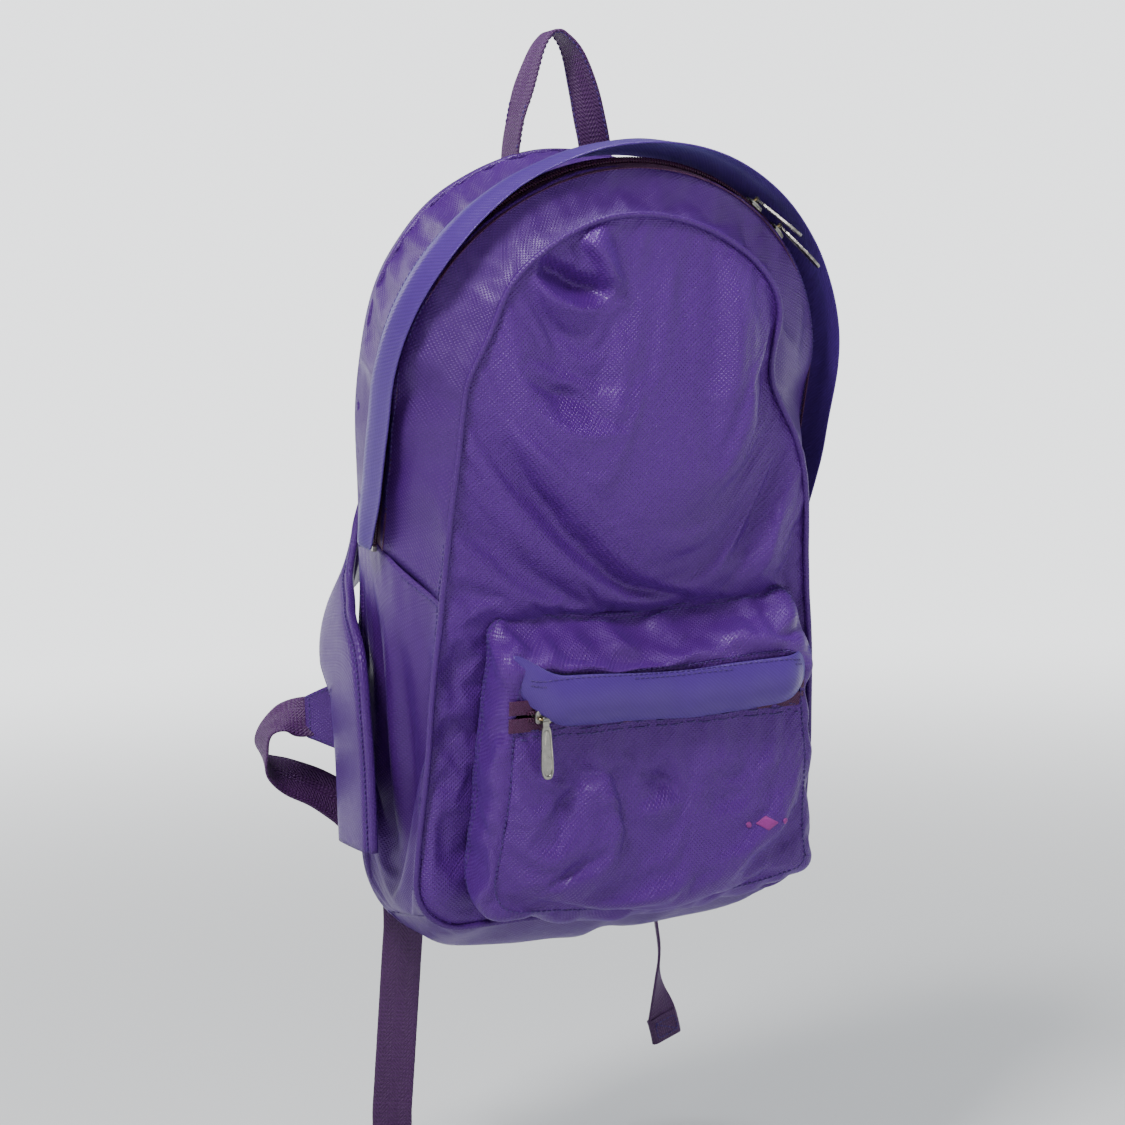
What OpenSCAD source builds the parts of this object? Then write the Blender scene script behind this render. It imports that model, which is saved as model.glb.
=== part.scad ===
// Soft daypack hanging by its haul loop.
// Origin: top of the haul loop. +X to the viewer's right, -Y to the front, +Z up.

/* [Back ring] */
// Radius of the arched top of the back panel
back_r = 129; // [124:1:134]
// Half-width of the back panel where the upper and lower gussets meet
back_split_w = 131; // [129:1:133]
// Half-width of the back panel at its foot
back_foot_w = 130; // [126:1:132]
// Height of the back panel along its own plane
back_h = 482; // [470:1:490]
// Corner radius at the foot of the back panel
back_corner_r = 60; // [50:1:70]
// Lean of the back panel from the vertical
back_lean = 5; // [4:0.5:6]

/* [Front ring] */
// Radius of the arched top of the front panel
front_r = 106; // [102:1:110]
// Half-width of the front panel at the side seams
front_split_w = 120; // [117:1:123]
// Half-width of the front panel at its foot
front_foot_w = 129; // [126:1:131]
// Height of the front panel along its own plane
front_h = 415; // [410:1:418]
// Corner radius at the foot of the front panel
front_corner_r = 30; // [26:1:36]
// Lean of the front panel from the vertical
front_lean = 10; // [9:0.5:11]

/* [Main zip] */
// Radius of the curved part of the main zip
zip_r = 134; // [132:0.5:136]
// Straight length of the main zip below the curve on each side
zip_leg = 95; // [86:1:98]
// Lean of the main zip's plane from the vertical
zip_lean = 20.4; // [19.5:0.1:21.5]
// Width of the main zip over both tapes
zip_w = 16; // [14:0.5:18]
// Park angle of the upper slider, measured from the top towards the right
slider_a = 38; // [34:1:42]
// Angle between the two sliders
slider_gap = 10; // [9:0.5:12]

/* [Fabric] */
// Thickness of a fabric panel
cloth_t = 1.5; // [1.2:0.1:1.8]
// Thickness of the foam in the back panel
back_foam_t = 5; // [4:0.5:6]
// Radius of the corded piping round the front panel
piping_r = 2; // [1.5:0.25:2.5]

/* [Front pocket] */
// Depth of the pocket down the front panel to its top seam
pocket_top_h = 228; // [224:1:232]
// Depth of the pocket down the front panel to its bottom seam
pocket_foot_h = 402; // [396:1:404]
// Half-width of the pocket at its top seam
pocket_top_w = 97; // [92:1:99]
// Half-width of the pocket at its foot
pocket_foot_w = 108; // [104:1:110]
// Fullness of the pocket, from the front panel to its face
pocket_d = 34; // [30:1:38]
// How far the pocket sits to the right of the middle
pocket_x = 8; // [0:1:9]
// Depth down the front panel to the pocket's zip
pocket_zip_h = 280; // [276:1:284]

/* [Straps] */
// Width of the shoulder pads
pad_w = 58; // [54:1:60]
// Thickness of the foam in the shoulder pads
pad_foam_t = 8; // [6:0.5:9]
// Width of the adjuster webbing
web_w = 25; // [23:1:26]
// Thickness of the webbing
web_t = 1.8; // [1.4:0.1:2.2]
// Width of the haul loop's webbing
haul_w = 20; // [18:1:22]

/* [Hidden] */

purple = [0.27, 0.18, 0.52];
deep_purple = [0.20, 0.12, 0.42];
webbing_purple = [0.22, 0.09, 0.32];
maroon = [0.22, 0.06, 0.18];
nickel = [0.66, 0.64, 0.60];
magenta = [0.60, 0.24, 0.56];
foam_grey = [0.75, 0.75, 0.77];
lining_grey = [0.25, 0.24, 0.30];
plastic_black = [0.08, 0.08, 0.09];

// Planes as [y, z, lean] of their top point
back_plane = [0, -70, back_lean];
front_plane = [-118, -115, front_lean];
zip_plane = [-100, -85, zip_lean];
// Steps round each stretch of a ring, one half of the bag at a time
arc_steps = 16;
leg_steps = 3;
side_steps = 5;
corner_steps = 6;
base_steps = 3;
// Where the side panel gives way to the bottom panel, counted from the split
side_end = side_steps + 3;
// Depth down each plane to the split between upper and lower gussets
back_split_h = 231;
front_split_h = 219;
// How far the lower gusset is folded inwards between its two seams
gusset_fold = 12;
// Half the slot that the slider's post runs in
slot = 0.9;
coil_r = 1.1;
// Clearance between neighbouring pieces that move
gap = 0.3;

function lerp(a, b, t) = a + (b - a) * t;
function unit(v) = v / norm(v);
function reversed(list) = [for (i = [len(list) - 1 : -1 : 0]) list[i]];
function mirrored(list) = [for (p = list) [-p[0], p[1], p[2]]];
function rest_of(list) = [for (i = [1 : len(list) - 1]) list[i]];
function part_of(list, a, b) = [for (i = [a : b]) list[i]];
// A point x across and h down a plane, e behind it
function in_plane(plane, x, h, e = 0) = [x, plane[0] + h * sin(plane[2]) + e * cos(plane[2]),
    plane[1] - h * cos(plane[2]) + e * sin(plane[2])];
// A right-hand half ring joined to its mirror image
function joined(half) = concat(reversed(mirrored(half)), rest_of(half));
// Catmull-Rom curve through a list of vectors
function knot(list, i) = list[max(0, min(len(list) - 1, i))];
function curve_at(list, u) = let (i = floor(u), t = u - i, a = knot(list, i - 1), b = knot(list, i),
    c = knot(list, i + 1), d = knot(list, i + 2))
    0.5 * (2 * b + (c - a) * t + (2 * a - 5 * b + 4 * c - d) * t * t + (3 * b - a - 3 * c + d) * t * t * t);
function smooth(list, steps) = [for (i = [0 : (len(list) - 1) * steps]) curve_at(list, i / steps)];

// Half outlines in a plane as [x, h]
function half_upper(r, split_w, split_h, inset = 0) = concat(
    [for (i = [0 : arc_steps]) let (a = 90 * i / arc_steps)
        [(r - inset) * sin(a), r - (r - inset) * cos(a)]],
    [for (i = [1 : leg_steps]) let (t = i / leg_steps)
        [lerp(r, split_w, t) - inset, lerp(r, split_h, t)]]);
function half_lower(split_w, split_h, foot_w, foot_h, corner_r, inset = 0) = concat(
    [for (i = [0 : side_steps - 1]) let (t = i / side_steps)
        [lerp(split_w, foot_w, t) - inset, lerp(split_h, foot_h - corner_r, t)]],
    [for (i = [0 : corner_steps]) let (a = 90 * i / corner_steps, r = corner_r - inset)
        [foot_w - corner_r + r * cos(a), foot_h - corner_r + r * sin(a)]],
    [for (i = [1 : base_steps]) [(foot_w - corner_r) * (1 - i / base_steps), foot_h - inset]]);
function placed(plane, half, e = 0) = [for (p = half) in_plane(plane, p[0], p[1], e)];

function back_upper(inset) = placed(back_plane, half_upper(back_r, back_split_w, back_split_h, inset));
function front_upper(inset) = placed(front_plane, half_upper(front_r, front_split_w, front_split_h, inset));
function zip_edge(e, inset) = placed(zip_plane, half_upper(zip_r, zip_r, zip_r + zip_leg, inset), e);
function back_lower(inset) = placed(back_plane,
    half_lower(back_split_w, back_split_h, back_foot_w, back_h, back_corner_r, inset));
function front_lower(inset) = placed(front_plane,
    half_lower(front_split_w, front_split_h, front_foot_w, front_h, front_corner_r, inset));
// A row of the lower gusset between its seams, which starts at one end of the main zip
function middle_lower(t, start, inset) = let (b = back_lower(inset), f = front_lower(inset),
    pull = start - lerp(b[0], f[0], t))
    [for (i = [0 : len(b) - 1]) let (w = max(0, 1 - i / side_steps), fold = sin(min(180, 180 * i / side_end)))
        lerp(b[i], f[i], t) + pull * w * w - [gusset_fold * fold, 0, 0]];
function lower_rows(inset) = let (a = zip_edge(zip_w / 2, inset), b = zip_edge(-zip_w / 2, inset),
    last = len(a) - 1)
    [back_lower(inset), middle_lower(0.4, a[last], inset), middle_lower(0.55, b[last], inset),
        front_lower(inset)];

module on_plane(plane) translate([0, plane[0], plane[1]]) rotate([plane[2], 0, 0]) children();

// Thin wall between matching grids of outer and inner points
module wall(outer, inner) {
    m = len(outer);
    n = len(outer[0]);
    s = m * n;
    points = concat([for (row = outer) each row], [for (row = inner) each row]);
    skins = [for (r = [0 : m - 2], c = [0 : n - 2]) let (i = r * n + c)
        each [[i, i + 1, i + n + 1], [i, i + n + 1, i + n], [s + i, s + i + n + 1, s + i + 1],
            [s + i, s + i + n, s + i + n + 1]]];
    rims = [for (c = [0 : n - 2]) let (i = c, j = (m - 1) * n + c)
        each [[i, s + i + 1, i + 1], [i, s + i, s + i + 1], [j, j + 1, s + j + 1], [j, s + j + 1, s + j]]];
    ends = [for (r = [0 : m - 2]) let (i = r * n, j = r * n + n - 1)
        each [[i, i + n, s + i + n], [i, s + i + n, s + i], [j, s + j + n, j + n], [j, s + j, s + j + n]]];
    polyhedron(points, concat(skins, rims, ends));
}

// Solid swept through rings of points, each anticlockwise about the way it travels
module swept(rings) {
    n = len(rings[0]);
    last = (len(rings) - 1) * n;
    sides = [for (r = [0 : len(rings) - 2], c = [0 : n - 1]) let (i = r * n + c, j = r * n + (c + 1) % n)
        each c < n / 2 ? [[i, i + n, j + n], [i, j + n, j]] : [[i, i + n, j], [j, i + n, j + n]]];
    caps = [[for (c = [0 : n - 1]) c], [for (c = [n - 1 : -1 : 0]) last + c]];
    polyhedron([for (ring = rings) each ring], concat(sides, caps));
}

// Rings of a band's section along a route of [x, y, z, wx, wy, wz], with w the way its width lies
function band_rings(route, section) = [for (i = [0 : len(route) - 1])
    let (here = part_of(route[i], 0, 2), w0 = unit(part_of(route[i], 3, 5)),
        t = unit(part_of(knot(route, i + 1), 0, 2) - part_of(knot(route, i - 1), 0, 2)),
        n = unit(cross(t, w0)), w = cross(n, t))
    [for (q = section) here + w * q[0] + n * q[1]]];
function flat_section(w, low, high) = [[-w / 2, low], [w / 2, low], [w / 2, high], [-w / 2, high]];
// Eight-sided section of a flat cord
function cord_section(w, t) = let (c = t / 3) [[-w / 2 + c, -t / 2], [w / 2 - c, -t / 2], [w / 2, -t / 6],
    [w / 2, t / 6], [w / 2 - c, t / 2], [-w / 2 + c, t / 2], [-w / 2, t / 6], [-w / 2, -t / 6]];
module band(route, w, low, high) swept(band_rings(route, flat_section(w, low, high)));

// A profile of [radius, distance behind the zip's plane] carried round the arch and down both legs
module arch(profile) on_plane(zip_plane) {
    translate([0, 0, -zip_r]) rotate([90, 0, 0])
        rotate_extrude(angle = 180, $fn = 96) polygon([for (p = profile) [p[0], -p[1]]]);
    for (side = [0, 1]) mirror([side, 0, 0])
        translate([0, 0, -zip_r - zip_leg]) linear_extrude(zip_leg) polygon(profile);
}
module at_zip_angle(a) on_plane(zip_plane) translate([0, 0, -zip_r]) rotate([0, a, 0])
    translate([0, 0, zip_r]) children();

// Outlines of the flat panels as [x, -h]
function outline(upper, lower, inset = 0) = let (half = concat(upper, rest_of(lower)))
    [for (p = concat([for (q = reversed(half)) [-q[0], q[1]]], rest_of(half))) [p[0], -p[1]]];
back_outline = outline(half_upper(back_r, back_split_w, back_split_h),
    half_lower(back_split_w, back_split_h, back_foot_w, back_h, back_corner_r));
front_outline = outline(half_upper(front_r, front_split_w, front_split_h),
    half_lower(front_split_w, front_split_h, front_foot_w, front_h, front_corner_r));
module inner_back(inset) polygon(outline(half_upper(back_r, back_split_w, back_split_h, inset),
    half_lower(back_split_w, back_split_h, back_foot_w, back_h, back_corner_r, inset)));
// An upright slab in a plane, from e0 to e1 behind it
module slab(plane, e0, e1) on_plane(plane) translate([0, e1, 0]) rotate([90, 0, 0])
    linear_extrude(e1 - e0) children();

module back_panel() color(deep_purple) slab(back_plane, 0, cloth_t) polygon(back_outline);
module back_foam() color(foam_grey) slab(back_plane, -gap - back_foam_t, -gap) inner_back(9);
module back_lining() color(lining_grey)
    slab(back_plane, -2 * gap - back_foam_t - 0.8, -2 * gap - back_foam_t) inner_back(9);
module front_panel() color(purple) slab(front_plane, -cloth_t, 0) polygon(front_outline);
// Half the gap between the piping's two ends, under the foot of the front panel
piping_end = 1;
module front_piping() color(deep_purple) {
    whole = concat(half_upper(front_r, front_split_w, front_split_h, piping_r),
        rest_of(half_lower(front_split_w, front_split_h, front_foot_w, front_h, front_corner_r, piping_r)));
    half = concat(part_of(whole, 0, len(whole) - 2), [[piping_end, front_h - piping_r]]);
    route = joined([for (p = half) in_plane(front_plane, p[0], p[1], -cloth_t - piping_r)]);
    band_route = [for (p = route) concat(p, [0, cos(front_lean), sin(front_lean)])];
    swept(band_rings(band_route, [for (i = [0 : 5]) piping_r * [cos(60 * i), sin(60 * i)]]));
}
module rear_band() color(purple) wall(
    [joined(back_upper(0)), joined(zip_edge(zip_w / 2, 0))],
    [joined(back_upper(cloth_t)), joined(zip_edge(zip_w / 2, cloth_t))]);
module front_band() color(purple) wall(
    [joined(zip_edge(-zip_w / 2, 0)), joined(front_upper(0))],
    [joined(zip_edge(-zip_w / 2, cloth_t)), joined(front_upper(cloth_t))]);
module side_panel() wall([for (row = lower_rows(0)) part_of(row, 0, side_end)],
    [for (row = lower_rows(cloth_t)) part_of(row, 0, side_end)]);
module side_panel_right() color(deep_purple) side_panel();
module side_panel_left() color(deep_purple) mirror([1, 0, 0]) side_panel();
function base_of(row) = let (half = part_of(row, side_end, len(row) - 1))
    concat(half, rest_of(reversed(mirrored(half))));
module bottom_panel() color(deep_purple)
    wall([for (row = lower_rows(0)) base_of(row)], [for (row = lower_rows(cloth_t)) base_of(row)]);

// Main zip: two tapes with a slot between them, a coil on each, stops at both ends
tape_t = 1;
tape_edge = zip_w / 2 - gap;
module main_tape_rear() color(maroon)
    arch([[zip_r - tape_t, slot], [zip_r, slot], [zip_r, tape_edge], [zip_r - tape_t, tape_edge]]);
module main_tape_front() color(maroon)
    arch([[zip_r - tape_t, -tape_edge], [zip_r, -tape_edge], [zip_r, -slot], [zip_r - tape_t, -slot]]);
module coil_arch(y) on_plane(zip_plane) {
    translate([0, 0, -zip_r]) rotate([90, 0, 0]) rotate_extrude(angle = 180, $fn = 96)
        translate([zip_r + coil_r, -y]) circle(coil_r, $fn = 16);
    for (side = [-1, 1]) translate([side * (zip_r + coil_r), y, -zip_r - zip_leg])
        cylinder(h = zip_leg, r = coil_r, $fn = 16);
}
module main_coil_rear() color(maroon) coil_arch(slot + coil_r);
module main_coil_front() color(maroon) coil_arch(-slot - coil_r);
module main_zip_stops() color(nickel) on_plane(zip_plane) for (side = [-1, 1])
    translate([side * (zip_r + 1.2) - 1.2, -3.2, -zip_r - zip_leg - 3.5]) cube([2.4, 6.4, 3.2]);
// Section of the storm flap as [height above the zip, distance behind it], from its sewn edge
flap_profile = [[-0.6, 23], [2.9, 15], [10.5, 6], [14.1, -3], [15.2, -10], [16.7, -10], [15.6, -3], [12, 7],
    [4.4, 16], [0.6, 24]];
module main_flap() color(purple) arch([for (p = flap_profile) p + [zip_r, 0]]);

// Zip slider: x along the zip, z away from the tape, with a crossbar over the top plate
bar_r = 0.9;
bar_z = 5.8;
eye_r = 1.6;
splay = 50;
module slider_body() {
    translate([-5.5, -4.8, 2 * coil_r + gap]) cube([11, 9.6, 1.3]);
    translate([-5.5, -4.8, -tape_t - gap - 1.3]) cube([11, 9.6, 1.3]);
    translate([-5.5, -0.6, -tape_t - gap - 1]) cube([4, 1.2, tape_t + 2 * coil_r + 2 * gap + 1.5]);
}
module slider_bail() {
    translate([0, 3.4, bar_z]) rotate([90, 0, 0]) cylinder(h = 6.8, r = bar_r, $fn = 24);
    for (y = [-3.4, 2.4]) translate([-bar_r, y, 3.4]) cube([2 * bar_r, 1, bar_z - 3.4]);
}
pull_len = 35;
pull_w = 7.5;
pull_t = 1.6;
// Pull reaching along +x from its eye at the origin, which turns about y
module pull() {
    difference() {
        union() {
            rotate([90, 0, 0]) cylinder(h = 4.2, r = eye_r, center = true, $fn = 32);
            translate([0, -2.1, -pull_t / 2]) cube([5, 4.2, pull_t]);
            translate([4, 0, -pull_t / 2]) linear_extrude(pull_t)
                polygon([[0, -2.1], [3, -pull_w * 0.38], [22, -pull_w / 2], [27, -pull_w / 2], [29.5, -2.4],
                    [pull_len - 4.5, 0], [29.5, 2.4], [27, pull_w / 2], [22, pull_w / 2], [3, pull_w * 0.38],
                    [0, 2.1]]);
        }
        rotate([90, 0, 0]) cylinder(h = 6, r = bar_r + 0.1, center = true, $fn = 32);
    }
}
module zip_slider(turn) color(nickel) {
    slider_body();
    rotate([0, 0, turn]) slider_bail();
}
module main_slider_upper() at_zip_angle(slider_a) zip_slider(-splay);
module main_slider_lower() at_zip_angle(slider_a + slider_gap) zip_slider(-splay);
module main_pull(a) at_zip_angle(a) rotate([0, 0, -splay]) translate([0, 0, bar_z]) color(nickel) pull();
module main_pull_upper() main_pull(slider_a);
module main_pull_lower() main_pull(slider_a + slider_gap);

// Front pocket, built on the front panel: x across, h down, d out from the panel
face_inset = 7;
pocket_corner = 26;
function pocket_ring(inset, d) = let (w0 = pocket_top_w - inset, w1 = pocket_foot_w - inset,
    h0 = pocket_top_h + inset, h1 = pocket_foot_h - inset, r = pocket_corner)
    [for (corner = [[w1 - r, h1 - r, 90], [-w1 + r, h1 - r, 180], [-w0 + r, h0 + r, 270], [w0 - r, h0 + r, 0]],
        i = [0 : 5]) let (a = corner[2] - 90 + 18 * i)
        in_plane(front_plane, pocket_x + corner[0] + r * cos(a), corner[1] + r * sin(a), -d)];
pocket_base_d = cloth_t;
module pocket_gusset() color(purple) {
    outer = [pocket_ring(0, pocket_base_d), pocket_ring(1, pocket_d * 0.7), pocket_ring(face_inset, pocket_d)];
    inner = [pocket_ring(cloth_t, pocket_base_d), pocket_ring(1 + cloth_t, pocket_d * 0.7),
        pocket_ring(face_inset + cloth_t, pocket_d)];
    n = len(outer[0]);
    m = len(outer);
    s = m * n;
    points = concat([for (row = outer) each row], [for (row = inner) each row]);
    skins = [for (r = [0 : m - 2], c = [0 : n - 1]) let (i = r * n + c, j = r * n + (c + 1) % n)
        each [[i, j + n, j], [i, i + n, j + n], [s + i, s + j, s + j + n], [s + i, s + j + n, s + i + n]]];
    rims = [for (c = [0 : n - 1]) let (i = c, j = (c + 1) % n, k = (m - 1) * n)
        each [[i, j, s + j], [i, s + j, s + i], [k + i, s + k + j, k + j], [k + i, s + k + i, s + k + j]]];
    polyhedron(points, concat(skins, rims));
}
// Outline of the pocket's face between two depths, as [x, -h]
module pocket_face(top, foot) intersection() {
    w0 = pocket_top_w - face_inset;
    w1 = pocket_foot_w - face_inset;
    h0 = pocket_top_h + face_inset;
    h1 = pocket_foot_h - face_inset;
    polygon([for (corner = [[w1 - pocket_corner, h1 - pocket_corner, 90],
        [-w1 + pocket_corner, h1 - pocket_corner, 180], [-w0 + pocket_corner, h0 + pocket_corner, 270],
        [w0 - pocket_corner, h0 + pocket_corner, 0]], i = [0 : 5]) let (a = corner[2] - 90 + 18 * i)
        [pocket_x + corner[0] + pocket_corner * cos(a), -corner[1] - pocket_corner * sin(a)]]);
    translate([-150, -foot]) square([300, foot - top]);
}
pocket_zip_half = 86;
pocket_tape_half = 6;
module pocket_top() color(purple) slab(front_plane, -pocket_d - cloth_t, -pocket_d)
    pocket_face(pocket_top_h, pocket_zip_h - pocket_tape_half);
module pocket_front() color(purple) slab(front_plane, -pocket_d - cloth_t, -pocket_d)
    pocket_face(pocket_zip_h + pocket_tape_half, pocket_foot_h);
module on_pocket_zip() on_plane(front_plane) translate([pocket_x, -pocket_d, -pocket_zip_h]) rotate([90, 0, 0])
    children();
module pocket_tapes() color(maroon) on_pocket_zip() for (side = [0, 1]) mirror([0, side, 0])
    translate([-pocket_zip_half, slot, -tape_t]) cube([2 * pocket_zip_half, pocket_tape_half - slot, tape_t]);
module pocket_coils() color(maroon) on_pocket_zip() for (side = [-1, 1])
    translate([-pocket_zip_half, side * (slot + coil_r), coil_r]) rotate([0, 90, 0])
        cylinder(h = 2 * pocket_zip_half, r = coil_r, $fn = 16);
pocket_slider_x = -76;
// Crossbar of the pocket's slider in the pocket zip's own axes
pocket_bar = [pocket_slider_x, -0.6, bar_z];
module pocket_slider() color(nickel) on_pocket_zip() translate([pocket_slider_x, 0, 0]) {
    slider_body();
    translate([0, pocket_bar[1], 0]) rotate([0, 0, 90]) slider_bail();
}
module pocket_pull() color(nickel) on_pocket_zip() translate(pocket_bar) rotate([0, 0, -90])
    rotate([0, -front_lean, 0]) pull();
// Puffed flap over the pocket's zip, sewn along its top edge
pocket_flap_half = 88;
pocket_flap_profile = [[20.5, 1.9], [16, 6], [9, 10.5], [1, 11.5], [-3.5, 10], [-3, 11.8], [1.5, 13.3],
    [10, 12.2], [17.2, 7.4], [21.5, 2.4]];
module pocket_flap() color(purple) on_pocket_zip() translate([-pocket_flap_half, 0, 0])
    rotate([90, 0, 90]) linear_extrude(2 * pocket_flap_half) polygon(pocket_flap_profile);
// Plain stitched diamond with a dot on each side
module pocket_mark() color(magenta) slab(front_plane, -pocket_d - cloth_t - 0.8, -pocket_d - cloth_t)
    translate([76, -pocket_foot_h + 45]) {
        polygon([[-7, 0], [0, 4], [7, 0], [0, -4]]);
        for (x = [-12, 12]) translate([x, 0]) circle(1.6, $fn = 24);
    }

// Routes of the fixed bands as [x, y, z, wx, wy, wz]
haul_route = [[-28, 6, -71, -0.15, 1, 0], [-26, 3, -55, -0.15, 1, 0], [-20, 1, -34, -0.3, 1, 0],
    [-12, 0, -13, -0.1, 1, 0], [-5, 0, -3, 0, 1, 0], [0, 0, -1, 0, 1, 0], [5, 0, -3, 0, 1, 0],
    [12, 0, -13, -0.3, 1, 0], [19, 1, -34, -0.7, 0.8, 0], [24, 3, -55, -0.9, 0.5, 0],
    [28, 6, -71, -0.95, 0.3, 0]];
module haul_loop() color(webbing_purple) band(smooth(haul_route, 4), haul_w, -1, 1);
module strap_anchor() color(deep_purple) slab(back_plane, cloth_t, 2 * cloth_t)
    polygon([[-50, -12], [-72, -38], [72, -38], [50, -12]]);
pad_route_left = [[-42, 12, -100, 1, 0, 0], [-50, 23, -130, 1, 0.1, 0], [-64, 34, -180, 0.9, 0.3, 0],
    [-82, 46, -230, 0.85, 0.5, 0], [-96, 54.7, -272, 0.8, 0.6, 0], [-109.3, 58.8, -305, 0.7, 0.7, 0],
    [-130.1, 56.3, -335, 0.33, 0.94, 0], [-142, 30, -356, 0.1, 1, 0], [-146, 4, -378, 0, 1, 0],
    [-146, 0, -402, 0, 1, 0], [-145, 0, -435, 0, 1, 0], [-145, 0, -480, 0, 1, 0]];
pad_route_right = [[42, 12, -100, 1, 0, 0], [47, 24, -130, 1, 0.05, 0], [54, 38, -180, 0.95, 0.3, 0],
    [62, 50, -230, 0.85, 0.55, 0], [70, 60, -285, 0.7, 0.75, 0], [77, 68, -340, 0.5, 0.9, 0],
    [82, 73, -400, 0.4, 0.92, 0], [84, 76, -462, 0.4, 0.92, 0]];
pad_skin = 1.2;
module pad_layer(route, low, high) band(smooth(route, 3), pad_w, low, high);
half_foam = pad_foam_t / 2;
module pad_face_left() color(purple) pad_layer(pad_route_left, -half_foam - pad_skin, -half_foam);
module pad_foam_left() color(foam_grey) pad_layer(pad_route_left, -half_foam, half_foam);
module pad_lining_left() color(lining_grey) pad_layer(pad_route_left, half_foam, half_foam + pad_skin);
module pad_face_right() color(purple) pad_layer(pad_route_right, -half_foam - pad_skin, -half_foam);
module pad_foam_right() color(foam_grey) pad_layer(pad_route_right, -half_foam, half_foam);
module pad_lining_right() color(lining_grey) pad_layer(pad_route_right, half_foam, half_foam + pad_skin);

// Ladder locks hang from a top bar: the bar's centre and the way it lies
lock_left = [-104, 52, -476];
lock_left_turn = -24;
lock_right = [85, 77, -480];
lock_right_turn = 66;
lock_bar_r = 2;
lock_half = 13.5;
// Ladder lock in its own axes: bar along x at the origin, frame hanging down, webbing threaded through
module ladder_lock() color(plastic_black) {
    rotate([0, 90, 0]) cylinder(h = 2 * lock_half, r = lock_bar_r, center = true, $fn = 32);
    for (side = [-1, 1]) translate([side * (lock_half + 1.6) - 1.6, -2.4, -24]) cube([3.2, 4.8, 26.4]);
    translate([-lock_half, -1.8, -13.5]) cube([2 * lock_half, 3.6, 4]);
    translate([-lock_half, -2.4, -24]) cube([2 * lock_half, 4.8, 3]);
}
module at_lock(place, turn) translate(place) rotate([0, 0, turn]) children();
module ladder_lock_left() at_lock(lock_left, lock_left_turn) ladder_lock();
module ladder_lock_right() at_lock(lock_right, lock_right_turn) ladder_lock();
// Webbing loop round the lock's bar
loop_r = lock_bar_r + gap;
module bar_loop() rotate([90, 0, 90]) translate([0, 0, -web_w / 2]) {
    rotate_extrude(angle = -180, $fn = 48) translate([loop_r, 0]) square([1.4, web_w]);
    translate([loop_r, 0, 0]) cube([1.4, 5, web_w]);
    translate([-loop_r - 1.4, 0, 0]) cube([1.4, 5, web_w]);
    translate([-loop_r - 1.4, 5, 0]) cube([2 * loop_r + 2.8, 2, web_w]);
}
loop_route_left = [[-136.8, 18, -458, 0, 0, 1], [-136, 36, -450, 0, 0.3, 1], [-122, 50, -449, 0.5, 0, 0.8],
    [-109, 54, -456, 0.91, -0.41, 0.3], [-104, 52, -469, 0.91, -0.41, 0]];
module buckle_loop_left() color(webbing_purple) {
    at_lock(lock_left, lock_left_turn) bar_loop();
    band(smooth(loop_route_left, 4), web_w, -1, 1);
}
module buckle_loop_right() color(webbing_purple) {
    at_lock(lock_right, lock_right_turn) bar_loop();
    at_lock(lock_right, lock_right_turn) translate([-web_w / 2, -1, 6.9]) cube([web_w, 2, 10]);
}

// Triangular wings sewn into the back seam, with the adjuster webbing sewn to each point
module wing(root_x, root_y, top_z, foot_z, point) {
    t = 1.2;
    hull() {
        translate([root_x, root_y, top_z]) cube([t, t, 0.1]);
        translate([root_x, root_y + (top_z - foot_z) * tan(back_lean), foot_z]) cube([t, t, 0.1]);
        translate(point + [0, 0, web_w / 2]) cube([t, t, 0.1]);
        translate(point - [0, 0, web_w / 2]) cube([t, t, 0.1]);
    }
}
wing_point_left = [-157, 52, -408];
wing_point_right = [151, 60, -412];
module wing_left() color(purple) wing(-131, 30, -380, -432, wing_point_left);
module wing_right() color(purple) wing(130, 30, -372, -462, wing_point_right);
adjuster_route_left = [[-159, 53.5, -408, 0, 0.3, 0.95], [-171, 56, -408, 0, 0.8, 0.5],
    [-180, 59, -414, 0, 1, 0.1], [-183, 61, -425, 0, 1, 0], [-179, 63, -437, 0.3, 0.85, 0.4],
    [-165, 65, -446, 0.5, 0.5, 0.7], [-147, 67, -455, 0.6, 0.3, 0.75], [-130, 68, -467, 0.7, 0, 0.7],
    [-116, 66, -482, 0.85, -0.3, 0.4], [-106, 60, -495, 0.91, -0.41, 0]];
adjuster_route_right = [[153, 61.5, -412, 0, 0.3, 0.95], [163, 68, -414, 0, 0.8, 0.5],
    [168, 78, -424, -0.2, 0.95, 0.1], [166, 88, -441, -0.5, 0.8, 0], [155, 96, -464, -0.5, 0.8, 0.2],
    [138, 100, -485, -0.3, 0.9, 0.4], [120, 98, -500, 0, 0.9, 0.4], [107, 91, -507, 0.2, 0.95, 0.2],
    [98, 81, -504, 0.41, 0.91, 0]];
module adjuster_left() color(webbing_purple) band(smooth(adjuster_route_left, 4), web_w, -0.9, 0.9);
module adjuster_right() color(webbing_purple) band(smooth(adjuster_route_right, 4), web_w, -0.9, 0.9);

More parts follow.
